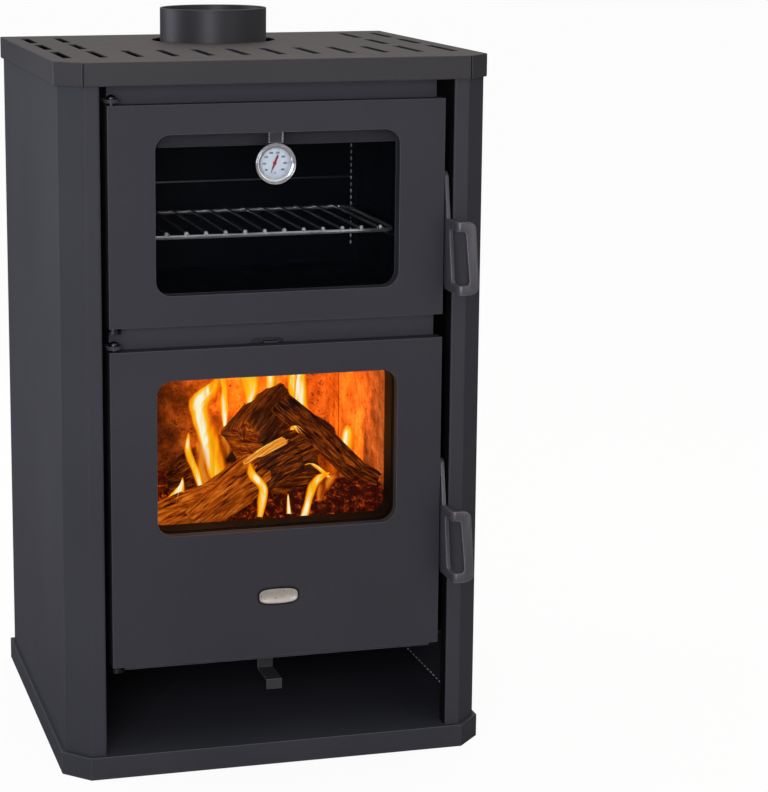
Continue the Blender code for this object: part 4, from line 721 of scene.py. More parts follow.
def spunPiece(profile, centre, steps):
    # a closed outline of (radius, distance towards the viewer) spun about an axis that runs front to back
    deselectAll()
    bpy.ops.mesh.primitive_circle_add(vertices=len(profile), radius=0.01, location=(0, 0, 0))
    piece = bpy.context.object
    for vertex, (radius, out) in zip(piece.data.vertices, profile):
        vertex.co = Vector(centre) + Vector((radius / 1000, -out / 1000, 0.0))
    bpy.ops.object.mode_set(mode="EDIT")
    bpy.ops.mesh.select_all(action="SELECT")
    bpy.ops.mesh.spin(steps=steps, angle=2 * math.pi, center=centre, axis=(0, 1, 0))
    bpy.ops.mesh.select_all(action="SELECT")
    bpy.ops.mesh.remove_doubles(threshold=0.00002)
    bpy.ops.object.mode_set(mode="OBJECT")
    faceOutwards(piece)
    return piece


# thermometer: a pressed steel cup with two rolled rings, and the printing on its card
dialLook = {
    "centre": (-0.0035, -0.2075, 0.7975),
    "card": -0.20964,  # y of the card's face
    "cup": [
        (0, 0), (23.9, 0), (24.7, 0.8), (24.7, 5.8), (26.2, 6.5), (26.5, 7.3), (26.5, 8.6), (26.4, 9.3), (26.0, 9.8),
        (25.6, 9.7),
        (25.35, 9.2), (25.2, 7.6), (24.9, 7.0), (24.3, 7.0), (24.0, 7.6), (23.8, 9.3), (23.4, 9.8), (22.8, 9.8),
        (20.4, 8.5), (20.1, 8.2),
        (20.1, 8.0), (23.85, 8.0), (23.85, 1.0), (0, 1.0),
    ],
    "numbers": ["50", "100", "150", "200", "250", "300", "350", "400"],
    "sweep": (-128.0, 128.0),  # degrees from straight up, clockwise
    "numberRadiusMm": 13.8,
    "numberHighMm": 3.6,
    "numberBoldMm": 0.16,
    "unitMm": 12.6,
    "unitBoldMm": 0.10,
    "inkMm": 0.04,
    "ticksPerNumber": 5,
    "longTickMm": (17.6, 19.4, 0.55),  # from, to, width
    "shortTickMm": (18.5, 19.4, 0.30),
}
case = spunPiece(dialLook["cup"], dialLook["centre"], 96)
settle(case, "thermometer_cup", "oven_door", "chrome", 50)
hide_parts("thermometer_case")


def printWord(word, spot, size, boldMm):
    # a word of thin raised ink that stands upright and faces the viewer
    deselectAll()
    bpy.ops.object.text_add(location=spot, rotation=(math.radians(90), 0, 0))
    text = bpy.context.object
    text.data.body = word
    text.data.size = size
    text.data.align_x = "CENTER"
    text.data.align_y = "CENTER"
    text.data.extrude = dialLook["inkMm"] / 1000
    text.data.offset = boldMm / 1000
    text.data.resolution_u = 2
    bpy.ops.object.convert(target="MESH")
    return bpy.context.object


marks = []
centreX, _, centreZ = dialLook["centre"]
first, last = dialLook["sweep"]
count = len(dialLook["numbers"])
for i, word in enumerate(dialLook["numbers"]):
    angle = math.radians(first + (last - first) * i / (count - 1))
    reach = dialLook["numberRadiusMm"] / 1000
    spot = (centreX + reach * math.sin(angle), dialLook["card"], centreZ + reach * math.cos(angle))
    size = dialLook["numberHighMm"] / 1000 * (1.0 if len(word) < 3 else 0.92)
    marks.append(printWord(word, spot, size, dialLook["numberBoldMm"]))
tickCount = (count - 1) * dialLook["ticksPerNumber"]
for i in range(tickCount + 1):
    angle = math.radians(first + (last - first) * i / tickCount)
    inner, outer, wide = dialLook["longTickMm" if i % dialLook["ticksPerNumber"] == 0 else "shortTickMm"]
    middle = (inner + outer) / 2000
    deselectAll()
    bpy.ops.mesh.primitive_cube_add(
        size=1.0, location=(centreX + middle * math.sin(angle), dialLook["card"], centreZ + middle * math.cos(angle)),
        rotation=(0, angle, 0),
    )
    tick = bpy.context.object
    tick.scale = (wide / 1000, 2 * dialLook["inkMm"] / 1000, (outer - inner) / 1000)
    marks.append(tick)
unitSpot = (centreX, dialLook["card"], centreZ - dialLook["unitMm"] / 1000)
marks.append(printWord("°C", unitSpot, dialLook["numberHighMm"] / 1000, dialLook["unitBoldMm"]))
settle(joinUp(marks, marks[-1]), "dial_printing", "oven_door", "dialInk")

# needle: a red bar with a black tip and a grey counterweight, one bar after the other along its length
needleLook = {
    "angle": 22.0, "y": -0.2110, "thickMm": 0.4,
    "bars": [
        # name, from mm, to mm, widths mm, finish
        ("needle_body", -6.0, 8.0, (2.2, 2.8), "needleRed"),
        ("needle_tip", 8.0, 11.2, (2.8, 1.4), "dialInk"),
        ("needle_tail", -13.5, -6.0, (0.6, 1.3), "dialInk"),
    ],
}
turn = math.radians(needleLook["angle"])
along = Vector((math.sin(turn), 0, math.cos(turn)))
across = Vector((math.cos(turn), 0, -math.sin(turn)))
for name, near, far, widths, finish in needleLook["bars"]:
    deselectAll()
    bpy.ops.mesh.primitive_cube_add(size=1.0, location=(0, 0, 0))
    bar = bpy.context.object
    thick = needleLook["thickMm"] / 2000
    for vertex in bar.data.vertices:
        outer = vertex.co.z > 0
        reach = (far if outer else near) / 1000
        half = widths[1 if outer else 0] / 2000 * (1 if vertex.co.x > 0 else -1)
        deep = needleLook["y"] + (thick if vertex.co.y > 0 else -thick)
        vertex.co = Vector((centreX, deep, centreZ)) + along * reach + across * half
    faceOutwards(bar)
    settle(bar, name, "pointer", finish)
print("thermometer made")


def outlinePlate(outline, frontY, thickMm):
    # a flat plate of any outline in the XZ plane, its face towards the viewer
    deselectAll()
    bpy.ops.mesh.primitive_circle_add(vertices=len(outline), radius=0.01, fill_type="NGON")
    plate = bpy.context.object
    for vertex, (x, z) in zip(plate.data.vertices, outline):
        vertex.co = (x, frontY, z)
    bpy.ops.object.mode_set(mode="EDIT")
    bpy.ops.mesh.select_all(action="SELECT")
    bpy.ops.mesh.extrude_region_move(TRANSFORM_OT_translate={"value": (0, thickMm / 1000, 0)})
    bpy.ops.object.mode_set(mode="OBJECT")
    faceOutwards(plate)
    return plate


def pickFaces(piece, test):
    # selects the faces whose middle and normal pass the test, and leaves the piece in edit mode
    takeUp(piece)
    bpy.ops.object.mode_set(mode="EDIT")
    bpy.ops.mesh.select_all(action="DESELECT")
    bpy.ops.mesh.select_mode(type="FACE")
    bpy.ops.object.mode_set(mode="OBJECT")
    for face in piece.data.polygons:
        face.select = test(face.center, face.normal)
    bpy.ops.object.mode_set(mode="EDIT")


# badge: a bare pressed plate with a raised border and a sunk field, on a dark rim of painted shade
badgeLook = {
    "halfWideMm": 27.8, "halfHighMm": 12.0, "archMm": 1.6, "z": 0.2278, "front": -0.2223, "thickMm": 2.0,
    "stepMm": 0.9,
    "borderMm": 1.7, "sunkMm": 0.7, "faceWide": 0.93, "faceHigh": 0.82, "points": 72,
    "squareness": (0.42, 0.62),  # 1 is an oval and 0 a rectangle, sideways and upright
    "lipMm": (0.4, 0.3),  # width and rise of the rounded lip
    "slopeMm": 0.5,
}
outline = []
for i in range(badgeLook["points"]):
    angle = 2 * math.pi * i / badgeLook["points"]
    c, s = math.cos(angle), math.sin(angle)
    x = badgeLook["halfWideMm"] * math.copysign(abs(c) ** badgeLook["squareness"][0], c)
    z = (badgeLook["halfHighMm"] - badgeLook["archMm"]) * math.copysign(abs(s) ** badgeLook["squareness"][1], s)
    z += badgeLook["archMm"] * (1 - (x / badgeLook["halfWideMm"]) ** 2) * math.copysign(1, s)
    outline.append((x / 1000, badgeLook["z"] + z / 1000))
# painted shade: a dark plate a little larger than the badge stands for the shade round its edge
shadeRim = outlinePlate(
    outline, badgeLook["front"] + badgeLook["stepMm"] / 1000, badgeLook["thickMm"] - badgeLook["stepMm"],
)
settle(shadeRim, "badge_shade_rim", "fire_door", "blackSteel", 40)
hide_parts("badge_plate")
middleZ = badgeLook["z"]
outline = [(x * badgeLook["faceWide"], middleZ + (z - middleZ) * badgeLook["faceHigh"]) for x, z in outline]
badge = outlinePlate(outline, badgeLook["front"], badgeLook["thickMm"] / 2)
pickFaces(badge, lambda middle, normal: normal.y < -0.9)
bpy.ops.mesh.inset(thickness=badgeLook["lipMm"][0] / 1000, depth=badgeLook["lipMm"][1] / 1000)
bpy.ops.mesh.inset(thickness=badgeLook["borderMm"] / 1000, depth=0.0)
bpy.ops.mesh.inset(thickness=badgeLook["slopeMm"] / 1000, depth=-badgeLook["sunkMm"] / 1000)
bpy.ops.object.mode_set(mode="OBJECT")
for vertex in badge.data.vertices:
    vertex.co.y = max(vertex.co.y, badgeLook["front"])
settle(badge, "badge_pressed", "fire_door", "nickel", 50)
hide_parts("badge_plate")
print("badge made")


# rope seals: an oval rope laid round the back of each door
def ropeRing(name, body, nodeName, look):
    low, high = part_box(nodeName)
    half = look["wideMm"] / 2000
    deep = (high.y - low.y) / 2
    x0, x1, z0, z1 = low.x + half, high.x - half, low.z + half, high.z - half
    bend = look["cornerMm"] / 1000
    route = []
    for cx, cz, start in (
        (x1 - bend, z1 - bend, 0), (x0 + bend, z1 - bend, 90), (x0 + bend, z0 + bend, 180),
        (x1 - bend, z0 + bend, 270),
    ):
        for k in range(look["cornerSteps"] + 1):
            a = math.radians(start + 90 * k / look["cornerSteps"])
            route.append(Vector((cx + bend * math.cos(a), (low.y + high.y) / 2, cz + bend * math.sin(a))))
    fine = []
    for a, b in zip(route, route[1:] + route[:1]):
        n = max(1, int((b - a).length / (look["stepMm"] / 1000)))
        fine += [a.lerp(b, k / n) for k in range(n)]
    sides = look["sides"]
    points, faces, uvs = [], [], []
    reach = 0.0
    for i, spot in enumerate(fine):
        ahead = fine[(i + 1) % len(fine)] - fine[i - 1]
        out = Vector((ahead.z, 0, -ahead.x)).normalized()
        for k in range(sides):
            a = 2 * math.pi * k / sides
            points.append(spot + out * half * math.cos(a) + Vector((0, deep * math.sin(a), 0)))
    for i in range(len(fine)):
        j = (i + 1) % len(fine)
        step = (fine[j] - fine[i]).length
        for k in range(sides):
            m = (k + 1) % sides
            faces.append((i * sides + k, i * sides + m, j * sides + m, j * sides + k))
            uvs += [
                (reach, k / sides), (reach, (k + 1) / sides), (reach + step, (k + 1) / sides),
                (reach + step, k / sides),
            ]
        reach += step
    rope = meshPiece(name, points, faces, uvs)
    settle(rope, name, body, "rope", 60)
    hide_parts(nodeName)


ropeLook = {"wideMm": 9.0, "cornerMm": 14.0, "sides": 10, "cornerSteps": 8, "stepMm": 6.0}
ropeRing("oven_rope_seal", "oven_door", "oven_door_gasket", ropeLook)
ropeRing("fire_rope_seal", "fire_door", "fire_door_gasket", ropeLook)
print("rope seals made")


# rows of spot welds in the oven's corner and along the niche, each a low pressed dimple, near white partly as a
# painted highlight
def weldRow(name, body, look):
    start, end = Vector(look["from"]), Vector(look["to"])
    count = int((end - start).length * 1000 / look["spacingMm"])
    deselectAll()
    bpy.ops.mesh.primitive_uv_sphere_add(segments=10, ring_count=6, radius=look["sizeMm"] / 2000, location=start)
    weld = bpy.context.object
    step = (end - start) / count
    weld.scale = [look["stretch"] if abs(share) > 0.5 else 1.0 for share in step.normalized()]
    bpy.ops.object.transform_apply(location=False, scale=True)
    useModifier(
        weld, "ARRAY",
        {
            "count": count + 1, "use_relative_offset": False, "use_constant_offset": True,
            "constant_offset_displace": step,
        },
    )
    settle(weld, name, body, "weldHighlightSteel", 60)


_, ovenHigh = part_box("oven_box")
rackLow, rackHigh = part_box("oven_rack")
weldLook = {
    # stretch lengthens each dimple along its row
    "oven_corner_welds": {
        "from": (0.1935, ovenHigh.y - 0.0024, 0.640), "to": (0.1935, ovenHigh.y - 0.0024, 0.826),
        "spacingMm": 9.0, "sizeMm": 2.2, "stretch": 2.8,
    },
    "niche_corner_welds": {
        "from": (0.2770, -0.186, 0.0325), "to": (0.2770, 0.235, 0.0325), "spacingMm": 13.0, "sizeMm": 1.7,
        "stretch": 4.2,
    },
}
for name, look in weldLook.items():
    weldRow(name, "cabinet", look)
# bright nibs where the rack's wires cross its front rail: real welds, near white partly as painted highlights
nibLook = {"wires": 13, "endMm": 23.2, "sizeMm": 5.8, "rise": 0.0070, "outMm": 1.4}
nibEnd = rackHigh.x - nibLook["endMm"] / 1000
nibY, nibZ = rackLow.y + nibLook["outMm"] / 1000, rackLow.z + nibLook["rise"]
weldRow("rack_weld_nibs", "oven_rack", {
    "from": (-nibEnd, nibY, nibZ), "to": (nibEnd, nibY, nibZ),
    "spacingMm": 2000 * nibEnd / (nibLook["wires"] - 1) - 0.01,  # a hair less, so that the last wire is counted
    "sizeMm": nibLook["sizeMm"], "stretch": 1.0,
})
ridgeLook = {"z": 0.735, "wide": 0.386, "highMm": 2.4, "deepMm": 1.6, "inFrontMm": 2.9, "easedMm": 0.7}
deselectAll()
bpy.ops.mesh.primitive_cube_add(size=1.0, location=(0.0, ovenHigh.y - ridgeLook["inFrontMm"] / 1000, ridgeLook["z"]))
ridge = bpy.context.object
ridge.scale = (ridgeLook["wide"], ridgeLook["deepMm"] / 1000, ridgeLook["highMm"] / 1000)
bpy.ops.object.transform_apply(scale=True)
useModifier(ridge, "BEVEL", {"width": ridgeLook["easedMm"] / 1000, "segments": 2})
settle(ridge, "oven_back_ridge", "cabinet", "zinc", 50)
print("welds and ridge made")


# the fire
def charredWood(name, look):
    # split beech burning: long brown fibres, charred black in bands, and painted firelight: the unburnt wood that
    # faces the fire glows dull orange
    material, tree, shader = newMaterial(name)
    along = addNode(tree, "UVMap", None, {"uv_map": "UVMap"}).outputs[0]
    place = addNode(tree, "TexCoord").outputs["Object"]
    fineWay = addNode(tree, "Mapping", {"Vector": along, "Scale": (0.07, 1.0, 1.0)})
    fine = addNode(
        tree, "TexNoise", {"Vector": fineWay, "Scale": perMetre(look["fibreMm"]), "Detail": 5.0, "Roughness": 0.7},
    )
    broadWay = addNode(tree, "Mapping", {"Vector": along, "Scale": (0.16, 1.0, 1.0)})
    broad = addNode(
        tree, "TexNoise",
        {"Vector": broadWay, "Scale": perMetre(look["bandMm"]), "Detail": 4.0, "Roughness": 0.55, "Distortion": 0.4},
    )
    grain = addNode(tree, "Mix", {0: 0.55, 2: broad, 3: fine}, {"data_type": "FLOAT"})
    burn = addNode(tree, "TexNoise", {"Vector": place, "Scale": perMetre(look["burnMm"]), "Detail": 3.0})
    char = addNode(tree, "MapRange", {"Value": burn, "From Min": look["burn"][0], "From Max": look["burn"][1]})
    wood = addNode(
        tree, "ValToRGB", {0: grain}, {"stops": [(0.38, look["char"]), (0.50, look["brown"]), (0.64, look["tan"])]},
    )
    skin = addNode(tree, "Mix", {0: char, 6: wood, 7: look["char"]}, mixColour)
    bump = addNode(tree, "Bump", {"Strength": 0.8, "Distance": look["reliefMm"] / 1000, "Height": grain})
    shade = addNode(
        tree, "ValToRGB", {0: grain}, {"stops": [(0.42, look["cool"]), (0.51, look["warm"]), (0.60, look["hot"])]},
    )
    # painted firelight: the unburnt wood glows, most where it faces the fire's side and least where it faces away
    left = addNode(tree, "Math", {0: 1.0, 1: char}, subtract)
    turned = addNode(tree, "NewGeometry")
    facing = addNode(tree, "VectorMath", {0: turned.outputs["Normal"], 1: look["firelitSide"]}, dotProduct)
    facing = addNode(
        tree, "MapRange",
        {"Value": facing.outputs["Value"], "From Min": -0.3, "From Max": 0.75, "To Min": look["firelitAway"], "To Max": 1.0},
    )
    left = addNode(tree, "Math", {0: left, 1: facing}, multiply)
    share = addNode(tree, "MapRange", {"Value": left, "To Min": look["firelitShare"][0], "To Max": look["firelitShare"][1]})
    glow = addNode(tree, "Emission", {"Color": shade, "Strength": look["glow"]})
    mixed = addNode(tree, "MixShader", {0: share, 1: shader, 2: glow})
    feed(tree, tree.nodes["Material Output"], {"Surface": mixed})
    feed(tree, shader, {"Base Color": skin.outputs[2], "Roughness": 0.85, "Specular IOR Level": 0.15, "Normal": bump})
    return material


woodLook = {
    "char": "#0A0503", "brown": "#32180A", "tan": "#74401C", "cool": "#120401", "warm": "#6E2806", "hot": "#D8660E",
    "fibreMm": 1.3, "bandMm": 4.5, "burnMm": 40.0, "reliefMm": 1.8, "burn": (0.48, 0.64), "firelitShare": (0.12, 0.80),
    "glow": 0.85,
    "firelitSide": (-0.62, -0.55, -0.30), "firelitAway": 0.2,
}
finishes["charredWood"] = charredWood("charred_beech", woodLook)
# a lighter copy for the logs in the fire's full light: painted firelight
finishes["litWood"] = charredWood("firelit_beech", {
    **woodLook, "char": "#1E0F08", "brown": "#6A3514", "tan": "#A8642A", "cool": "#300C02", "warm": "#AE4808",
    "hot": "#E88420", "fibreMm": 1.6, "bandMm": 7.0, "burn": (0.54, 0.72), "firelitShare": (0.35, 0.92), "glow": 1.0,
    "firelitSide": (-0.3, -0.5, 0.75), "firelitAway": 0.4,
})
finishes["blockWood"] = charredWood("charred_beech_block", {
    **woodLook, "char": "#140804", "brown": "#3A1C0C", "tan": "#74401C", "cool": "#4A1403", "warm": "#9E3E08",
    "hot": "#E0741A",
    "fibreMm": 2.2, "bandMm": 8.0, "burn": (0.52, 0.66), "firelitShare": (0.10, 0.92), "glow": 0.95,
    "firelitSide": (-0.80, -0.30, -0.42), "firelitAway": 0.06,
})
finishes["glowingEdge"] = charredWood("glowing_beech_edge", {
    **woodLook, "char": "#5A240A", "brown": "#A8551A", "tan": "#E0943C", "cool": "#D85A0C", "warm": "#F89A28",
    "hot": "#FFE070", "fibreMm": 2.0, "bandMm": 7.0, "burn": (0.60, 0.80), "firelitShare": (0.9, 1.0), "glow": 1.0,
    "firelitSide": (0.0, -1.0, 0.0), "firelitAway": 0.9,
})


def emberCrust(name, look):
    # wood embers: dark red lumps under a thin skin of ash, with a live orange spot here and there
    material, tree, shader = newMaterial(name)
    place = addNode(tree, "TexCoord").outputs["Object"]
    lumps = addNode(
        tree, "TexVoronoi", {"Vector": place, "Scale": perMetre(look["lumpMm"])}, {"feature": "DISTANCE_TO_EDGE"},
    )
    drift = addNode(
        tree, "TexNoise", {"Vector": place, "Scale": perMetre(look["driftMm"]), "Detail": 5.0, "Roughness": 0.65},
    )
    crust = addNode(
        tree, "ValToRGB", {0: drift}, {"stops": [(0.35, look["black"]), (0.55, look["brown"]), (0.72, look["ash"])]},
    )
    gap = addNode(
        tree, "MapRange",
        {"Value": lumps.outputs["Distance"], "From Min": 0.02, "From Max": 0.30, "To Min": 1.0, "To Max": 0.15},
    )
    live = addNode(tree, "MapRange", {"Value": drift, "From Min": look["live"][0], "From Max": look["live"][1]})
    hot = addNode(tree, "Math", {0: gap, 1: live}, multiply)
    shade = addNode(
        tree, "ValToRGB", {0: hot}, {"stops": [(0.0, look["red"]), (0.55, look["orange"]), (1.0, look["yellow"])]},
    )
    share = addNode(tree, "MapRange", {"Value": hot, "To Min": 0.25, "To Max": 1.0})
    ember = addNode(tree, "Emission", {"Color": shade, "Strength": look["glow"]})
    mixed = addNode(tree, "MixShader", {0: share, 1: shader, 2: ember})
    feed(tree, tree.nodes["Material Output"], {"Surface": mixed})
    bump = addNode(tree, "Bump", {"Strength": 0.8, "Distance": look["reliefMm"] / 1000, "Height": drift})
    feed(tree, shader, {"Base Color": crust, "Roughness": 0.95, "Specular IOR Level": 0.1, "Normal": bump})
    return material


finishes["embers"] = emberCrust("wood_embers", {
    "black": "#160805", "brown": "#3C170B", "ash": "#4E2616", "red": "#5A1204", "orange": "#E04E0A",
    "yellow": "#FFB040",
    "lumpMm": 5.5, "driftMm": 9.0, "reliefMm": 2.0, "live": (0.50, 0.74), "glow": 0.95,
})


def flameTongue(name, look):
    # a wood flame: a yellow-white heart, an orange skin, and ragged edges that fade to nothing
    material, tree, shader = newMaterial(name)
    tree.nodes.remove(shader)
    along = addNode(tree, "UVMap", None, {"uv_map": "UVMap"}).outputs[0]
    place = addNode(tree, "TexCoord").outputs["Object"]
    parts = addNode(tree, "SeparateXYZ", {0: along})
    lift = addNode(tree, "Mapping", {"Vector": place, "Scale": (1.0, 1.0, 0.45)})
    curl = addNode(
        tree, "TexNoise", {"Vector": lift, "Scale": perMetre(look["curlMm"]), "Detail": 1.5, "Distortion": 0.5},
    )
    sway = addNode(tree, "MapRange", {"Value": curl, **noiseSpan, "To Min": -look["sway"], "To Max": look["sway"]})
    side = addNode(tree, "Math", {0: parts.outputs["X"], 1: 2.0, 2: -1.0}, multiplyAdd)
    side = addNode(tree, "Math", {0: side, 1: sway}, {"operation": "ADD"})
    side = addNode(tree, "Math", {0: side}, absolute)
    body = addNode(tree, "MapRange", {"Value": side, "From Min": 0.98, "From Max": look["heart"]}, smoothStep)
    streakWay = addNode(tree, "Mapping", {"Vector": place, "Scale": (1.0, 1.0, 0.22)})
    streak = addNode(
        tree, "TexNoise",
        {"Vector": streakWay, "Scale": perMetre(look["streakMm"]), "Detail": 2.0, "Distortion": 0.6},
    )
    streak = addNode(
        tree, "MapRange",
        {"Value": streak, "From Min": 0.35, "From Max": 0.62, "To Min": look["thin"], "To Max": 1.0},
    )
    heat = addNode(tree, "Math", {0: body, 1: streak}, multiply)
    tipAt = addNode(tree, "Math", {0: sway, 1: 0.35, 2: parts.outputs["Y"]}, multiplyAdd)
    tip = addNode(tree, "MapRange", {"Value": tipAt, "From Min": 1.0, "From Max": 0.78}, smoothStep)
    heat = addNode(tree, "Math", {0: heat, 1: tip}, multiply)
    shade = addNode(tree, "ValToRGB", {0: heat}, {"stops": look["colours"]})
    cover = addNode(
        tree, "MapRange", {"Value": heat, "From Min": 0.02, "From Max": look["solidAt"], "To Max": look["cover"]},
        smoothStep,
    )
    glow = addNode(tree, "Emission", {"Color": shade, "Strength": look["glow"]})
    clear = addNode(tree, "BsdfTransparent")
    mixed = addNode(tree, "MixShader", {0: cover, 1: clear, 2: glow})
    feed(tree, tree.nodes["Material Output"], {"Surface": mixed})
    return material


flameSkin = {
    "curlMm": 30.0, "sway": 0.18, "streakMm": 16.0, "thin": 0.50, "heart": 0.15, "solidAt": 0.34, "cover": 0.95,
    "glow": 1.15,
    "colours": [(0.0, "#D04006"), (0.20, "#F27408"), (0.42, "#FF9E08"), (0.68, "#FFC81E"), (0.90, "#FFFAD8")],
}
finishes["flame"] = flameTongue("wood_flame", flameSkin)
finishes["flameVeil"] = flameTongue("thin_wood_flame", {
    **flameSkin, "curlMm": 34.0, "sway": 0.40, "thin": 0.25, "heart": 0.0, "solidAt": 0.9, "cover": 0.74,
    "glow": 1.08,
    "colours": [(0.0, "#B43204"), (0.5, "#E6620A"), (1.0, "#FF9A22")],
})


logMesh = {
    "around": 48, "fewestRings": 30, "ringMm": 2.8, "endRings": (0.80, 0.55, 0.28),
    "relief": [(1.8, 16, 0.09), (11, 9, 0.06), (24, 22, 0.025)],  # how fine round it and along it, and how high
    "endRound": 0.30, "endDrop": 0.12,  # shares of the radius that the ends are rounded over and drop by
}


def splitLog(name, look):
    # a split log, burned: built round its own length, so the grain follows it. Angle 0 of a split faces the viewer
    # and 90 faces up
    start, end = Vector(look["start"]), Vector(look["end"])
    length = (end - start).length
    radius = look["radiusMm"] / 1000
    around, rings = logMesh["around"], max(logMesh["fewestRings"], int(length * 1000 / logMesh["ringMm"]))
    forward = (end - start).normalized()
    side = forward.cross(Vector((0, 0, 1))).normalized()
    upward = side.cross(forward)
    girth = radius * 6.28
    seed = look["seed"] * 7.3  # moves each log to another part of the noise
    points, faces, uvs = [], [], []

    def surface(k, t):
        a = 2 * math.pi * k / around
        reach = radius * 1.18
        for splitAngle, share in look["splits"]:
            facing = math.cos(a - math.radians(splitAngle))
            if facing > 0.05:
                reach = min(reach, radius * share / facing)
        swell = 1.0
        for across, along, high in logMesh["relief"]:
            swell += noise.noise(
                Vector((math.cos(a) * across + seed, math.sin(a) * across, t * length * along))
            ) * high
        reach *= swell
        near = min(1.0, min(t, 1 - t) * length / (radius * logMesh["endRound"]))
        reach *= 1.0 - logMesh["endDrop"] * (1.0 - math.sqrt(max(0.0, near)))
        bend = look.get("bendMm", 2) / 1000 * math.sin(math.pi * t)
        z = t * length
        if t in (0, 1):
            torn = noise.noise(Vector((math.cos(a) * 5, math.sin(a) * 5, seed)))
            torn += 0.5 * noise.noise(Vector((math.cos(a) * 13, math.sin(a) * 13, seed)))
            z += torn * radius * look.get("torn", 0.22) * (1 if t else -1)
        return start + side * (reach * math.cos(a)) + upward * (reach * math.sin(a) + bend) + forward * z

    for i in range(rings + 1):
        for k in range(around):
            points.append(surface(k, i / rings))
    for i in range(rings):
        for k in range(around):
            m = (k + 1) % around
            faces.append((i * around + k, i * around + m, (i + 1) * around + m, (i + 1) * around + k))
            u0, u1 = i / rings * length + seed, (i + 1) / rings * length + seed
            v0, v1 = k / around * girth, (k + 1) / around * girth
            uvs += [(u0, v0), (u0, v1), (u1, v1), (u1, v0)]

    def endFace(loop, centre, outward):
        faces.append(loop if outward else loop[::-1])
        for p in faces[-1]:
            spot = points[p] - centre
            uvs.append((spot.dot(side) * 1.5 + seed, spot.dot(upward)))

    for base, backEnd in ((0, True), (rings * around, False)):
        rim = [points[base + k] for k in range(around)]
        centre = sum(rim, Vector()) / around
        last = list(range(base, base + around))
        for share in logMesh["endRings"]:
            fresh = []
            for k in range(around):
                fresh.append(len(points))
                lift = noise.noise(Vector((k * 0.7, share * 6, seed))) * radius * 0.09
                points.append(centre.lerp(rim[k], share) + forward * lift)
            for k in range(around):
                m = (k + 1) % around
                endFace((last[k], fresh[k], fresh[m], last[m]), centre, backEnd)
            last = fresh
        points.append(centre)
        middle = len(points) - 1
        for k in range(around):
            endFace((last[k], middle, last[(k + 1) % around]), centre, backEnd)
    log = meshPiece(name, points, faces, uvs)
    settle(log, name, "cabinet", look["finish"], 50)
    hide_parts("fuel_load")


logLook = {
    "log_block": {
        "start": (-0.0125, -0.084, 0.402), "end": (0.057, 0.003, 0.434), "radiusMm": 34,
        "splits": [(28, 0.84), (118, 0.78), (205, 0.8), (300, 0.86)], "seed": 1, "finish": "blockWood",
    },
    "log_leaning": {
        "start": (0.0400, -0.066, 0.452), "end": (0.142, -0.100, 0.356), "radiusMm": 19,
        "splits": [(20, 0.84), (110, 0.80), (200, 0.8), (285, 0.84)], "seed": 2, "finish": "charredWood",
    },
    "log_leaning_tip": {
        "start": (0.128, -0.100, 0.366), "end": (0.170, -0.102, 0.346), "radiusMm": 10,
        "splits": [(40, 0.7), (130, 0.7), (250, 0.8)], "seed": 12, "finish": "charredWood", "torn": 0.6,
    },
    "log_front": {
        "start": (-0.101, -0.130, 0.308), "end": (0.010, -0.098, 0.371), "radiusMm": 27,
        "splits": [(15, 0.92), (100, 0.80), (190, 0.85), (280, 0.9)], "seed": 3, "finish": "litWood",
    },
    # the far part of the front log in shade, as a dark copy laid over it: painted shade
    "log_front_shaded": {
        "start": (-0.012, -0.104, 0.358), "end": (0.0560, -0.086, 0.385), "radiusMm": 29,
        "splits": [(15, 0.88), (100, 0.76), (190, 0.85), (280, 0.9)], "seed": 13, "finish": "charredWood",
    },
    "log_shadowed": {
        "start": (0.008, -0.066, 0.372), "end": (0.088, -0.058, 0.404), "radiusMm": 28,
        "splits": [(30, 0.85), (110, 0.85), (220, 0.85)], "seed": 14, "finish": "charredWood",
    },
    "log_low_left": {
        "start": (-0.1485, -0.128, 0.317), "end": (-0.056, -0.112, 0.340), "radiusMm": 21,
        "splits": [(35, 0.76), (125, 0.72), (250, 0.8)], "seed": 4, "finish": "litWood",
    },
    "log_low_right": {
        "start": (0.035, -0.105, 0.305), "end": (0.179, -0.078, 0.321), "radiusMm": 23,
        "splits": [(60, 0.8), (190, 0.8)], "seed": 5, "finish": "embers",
    },
    "log_behind": {
        "start": (-0.09, 0.045, 0.302), "end": (0.12, 0.02, 0.318), "radiusMm": 29, "splits": [(40, 0.7), (160, 0.7)],
        "seed": 6, "finish": "charredWood",
    },
    "log_prop": {
        "start": (-0.075, 0.020, 0.335), "end": (0.015, -0.045, 0.395), "radiusMm": 22,
        "splits": [(40, 0.7), (160, 0.7)], "seed": 7, "finish": "charredWood",
    },
    "log_front_edge": {
        "start": (-0.020, -0.120, 0.379), "end": (0.038, -0.112, 0.4085), "radiusMm": 6.0,
        "splits": [(60, 0.5), (240, 0.5), (330, 0.6)], "seed": 9, "finish": "glowingEdge", "torn": 1.0,
    },
    "log_splinter": {
        "start": (0.085, -0.072, 0.424), "end": (0.112, -0.080, 0.404), "radiusMm": 9,
        "splits": [(70, 0.7), (200, 0.6)], "seed": 10, "finish": "charredWood", "torn": 0.6,
    },
}
for name, look in logLook.items():
    splitLog(name, look)
print("logs made")

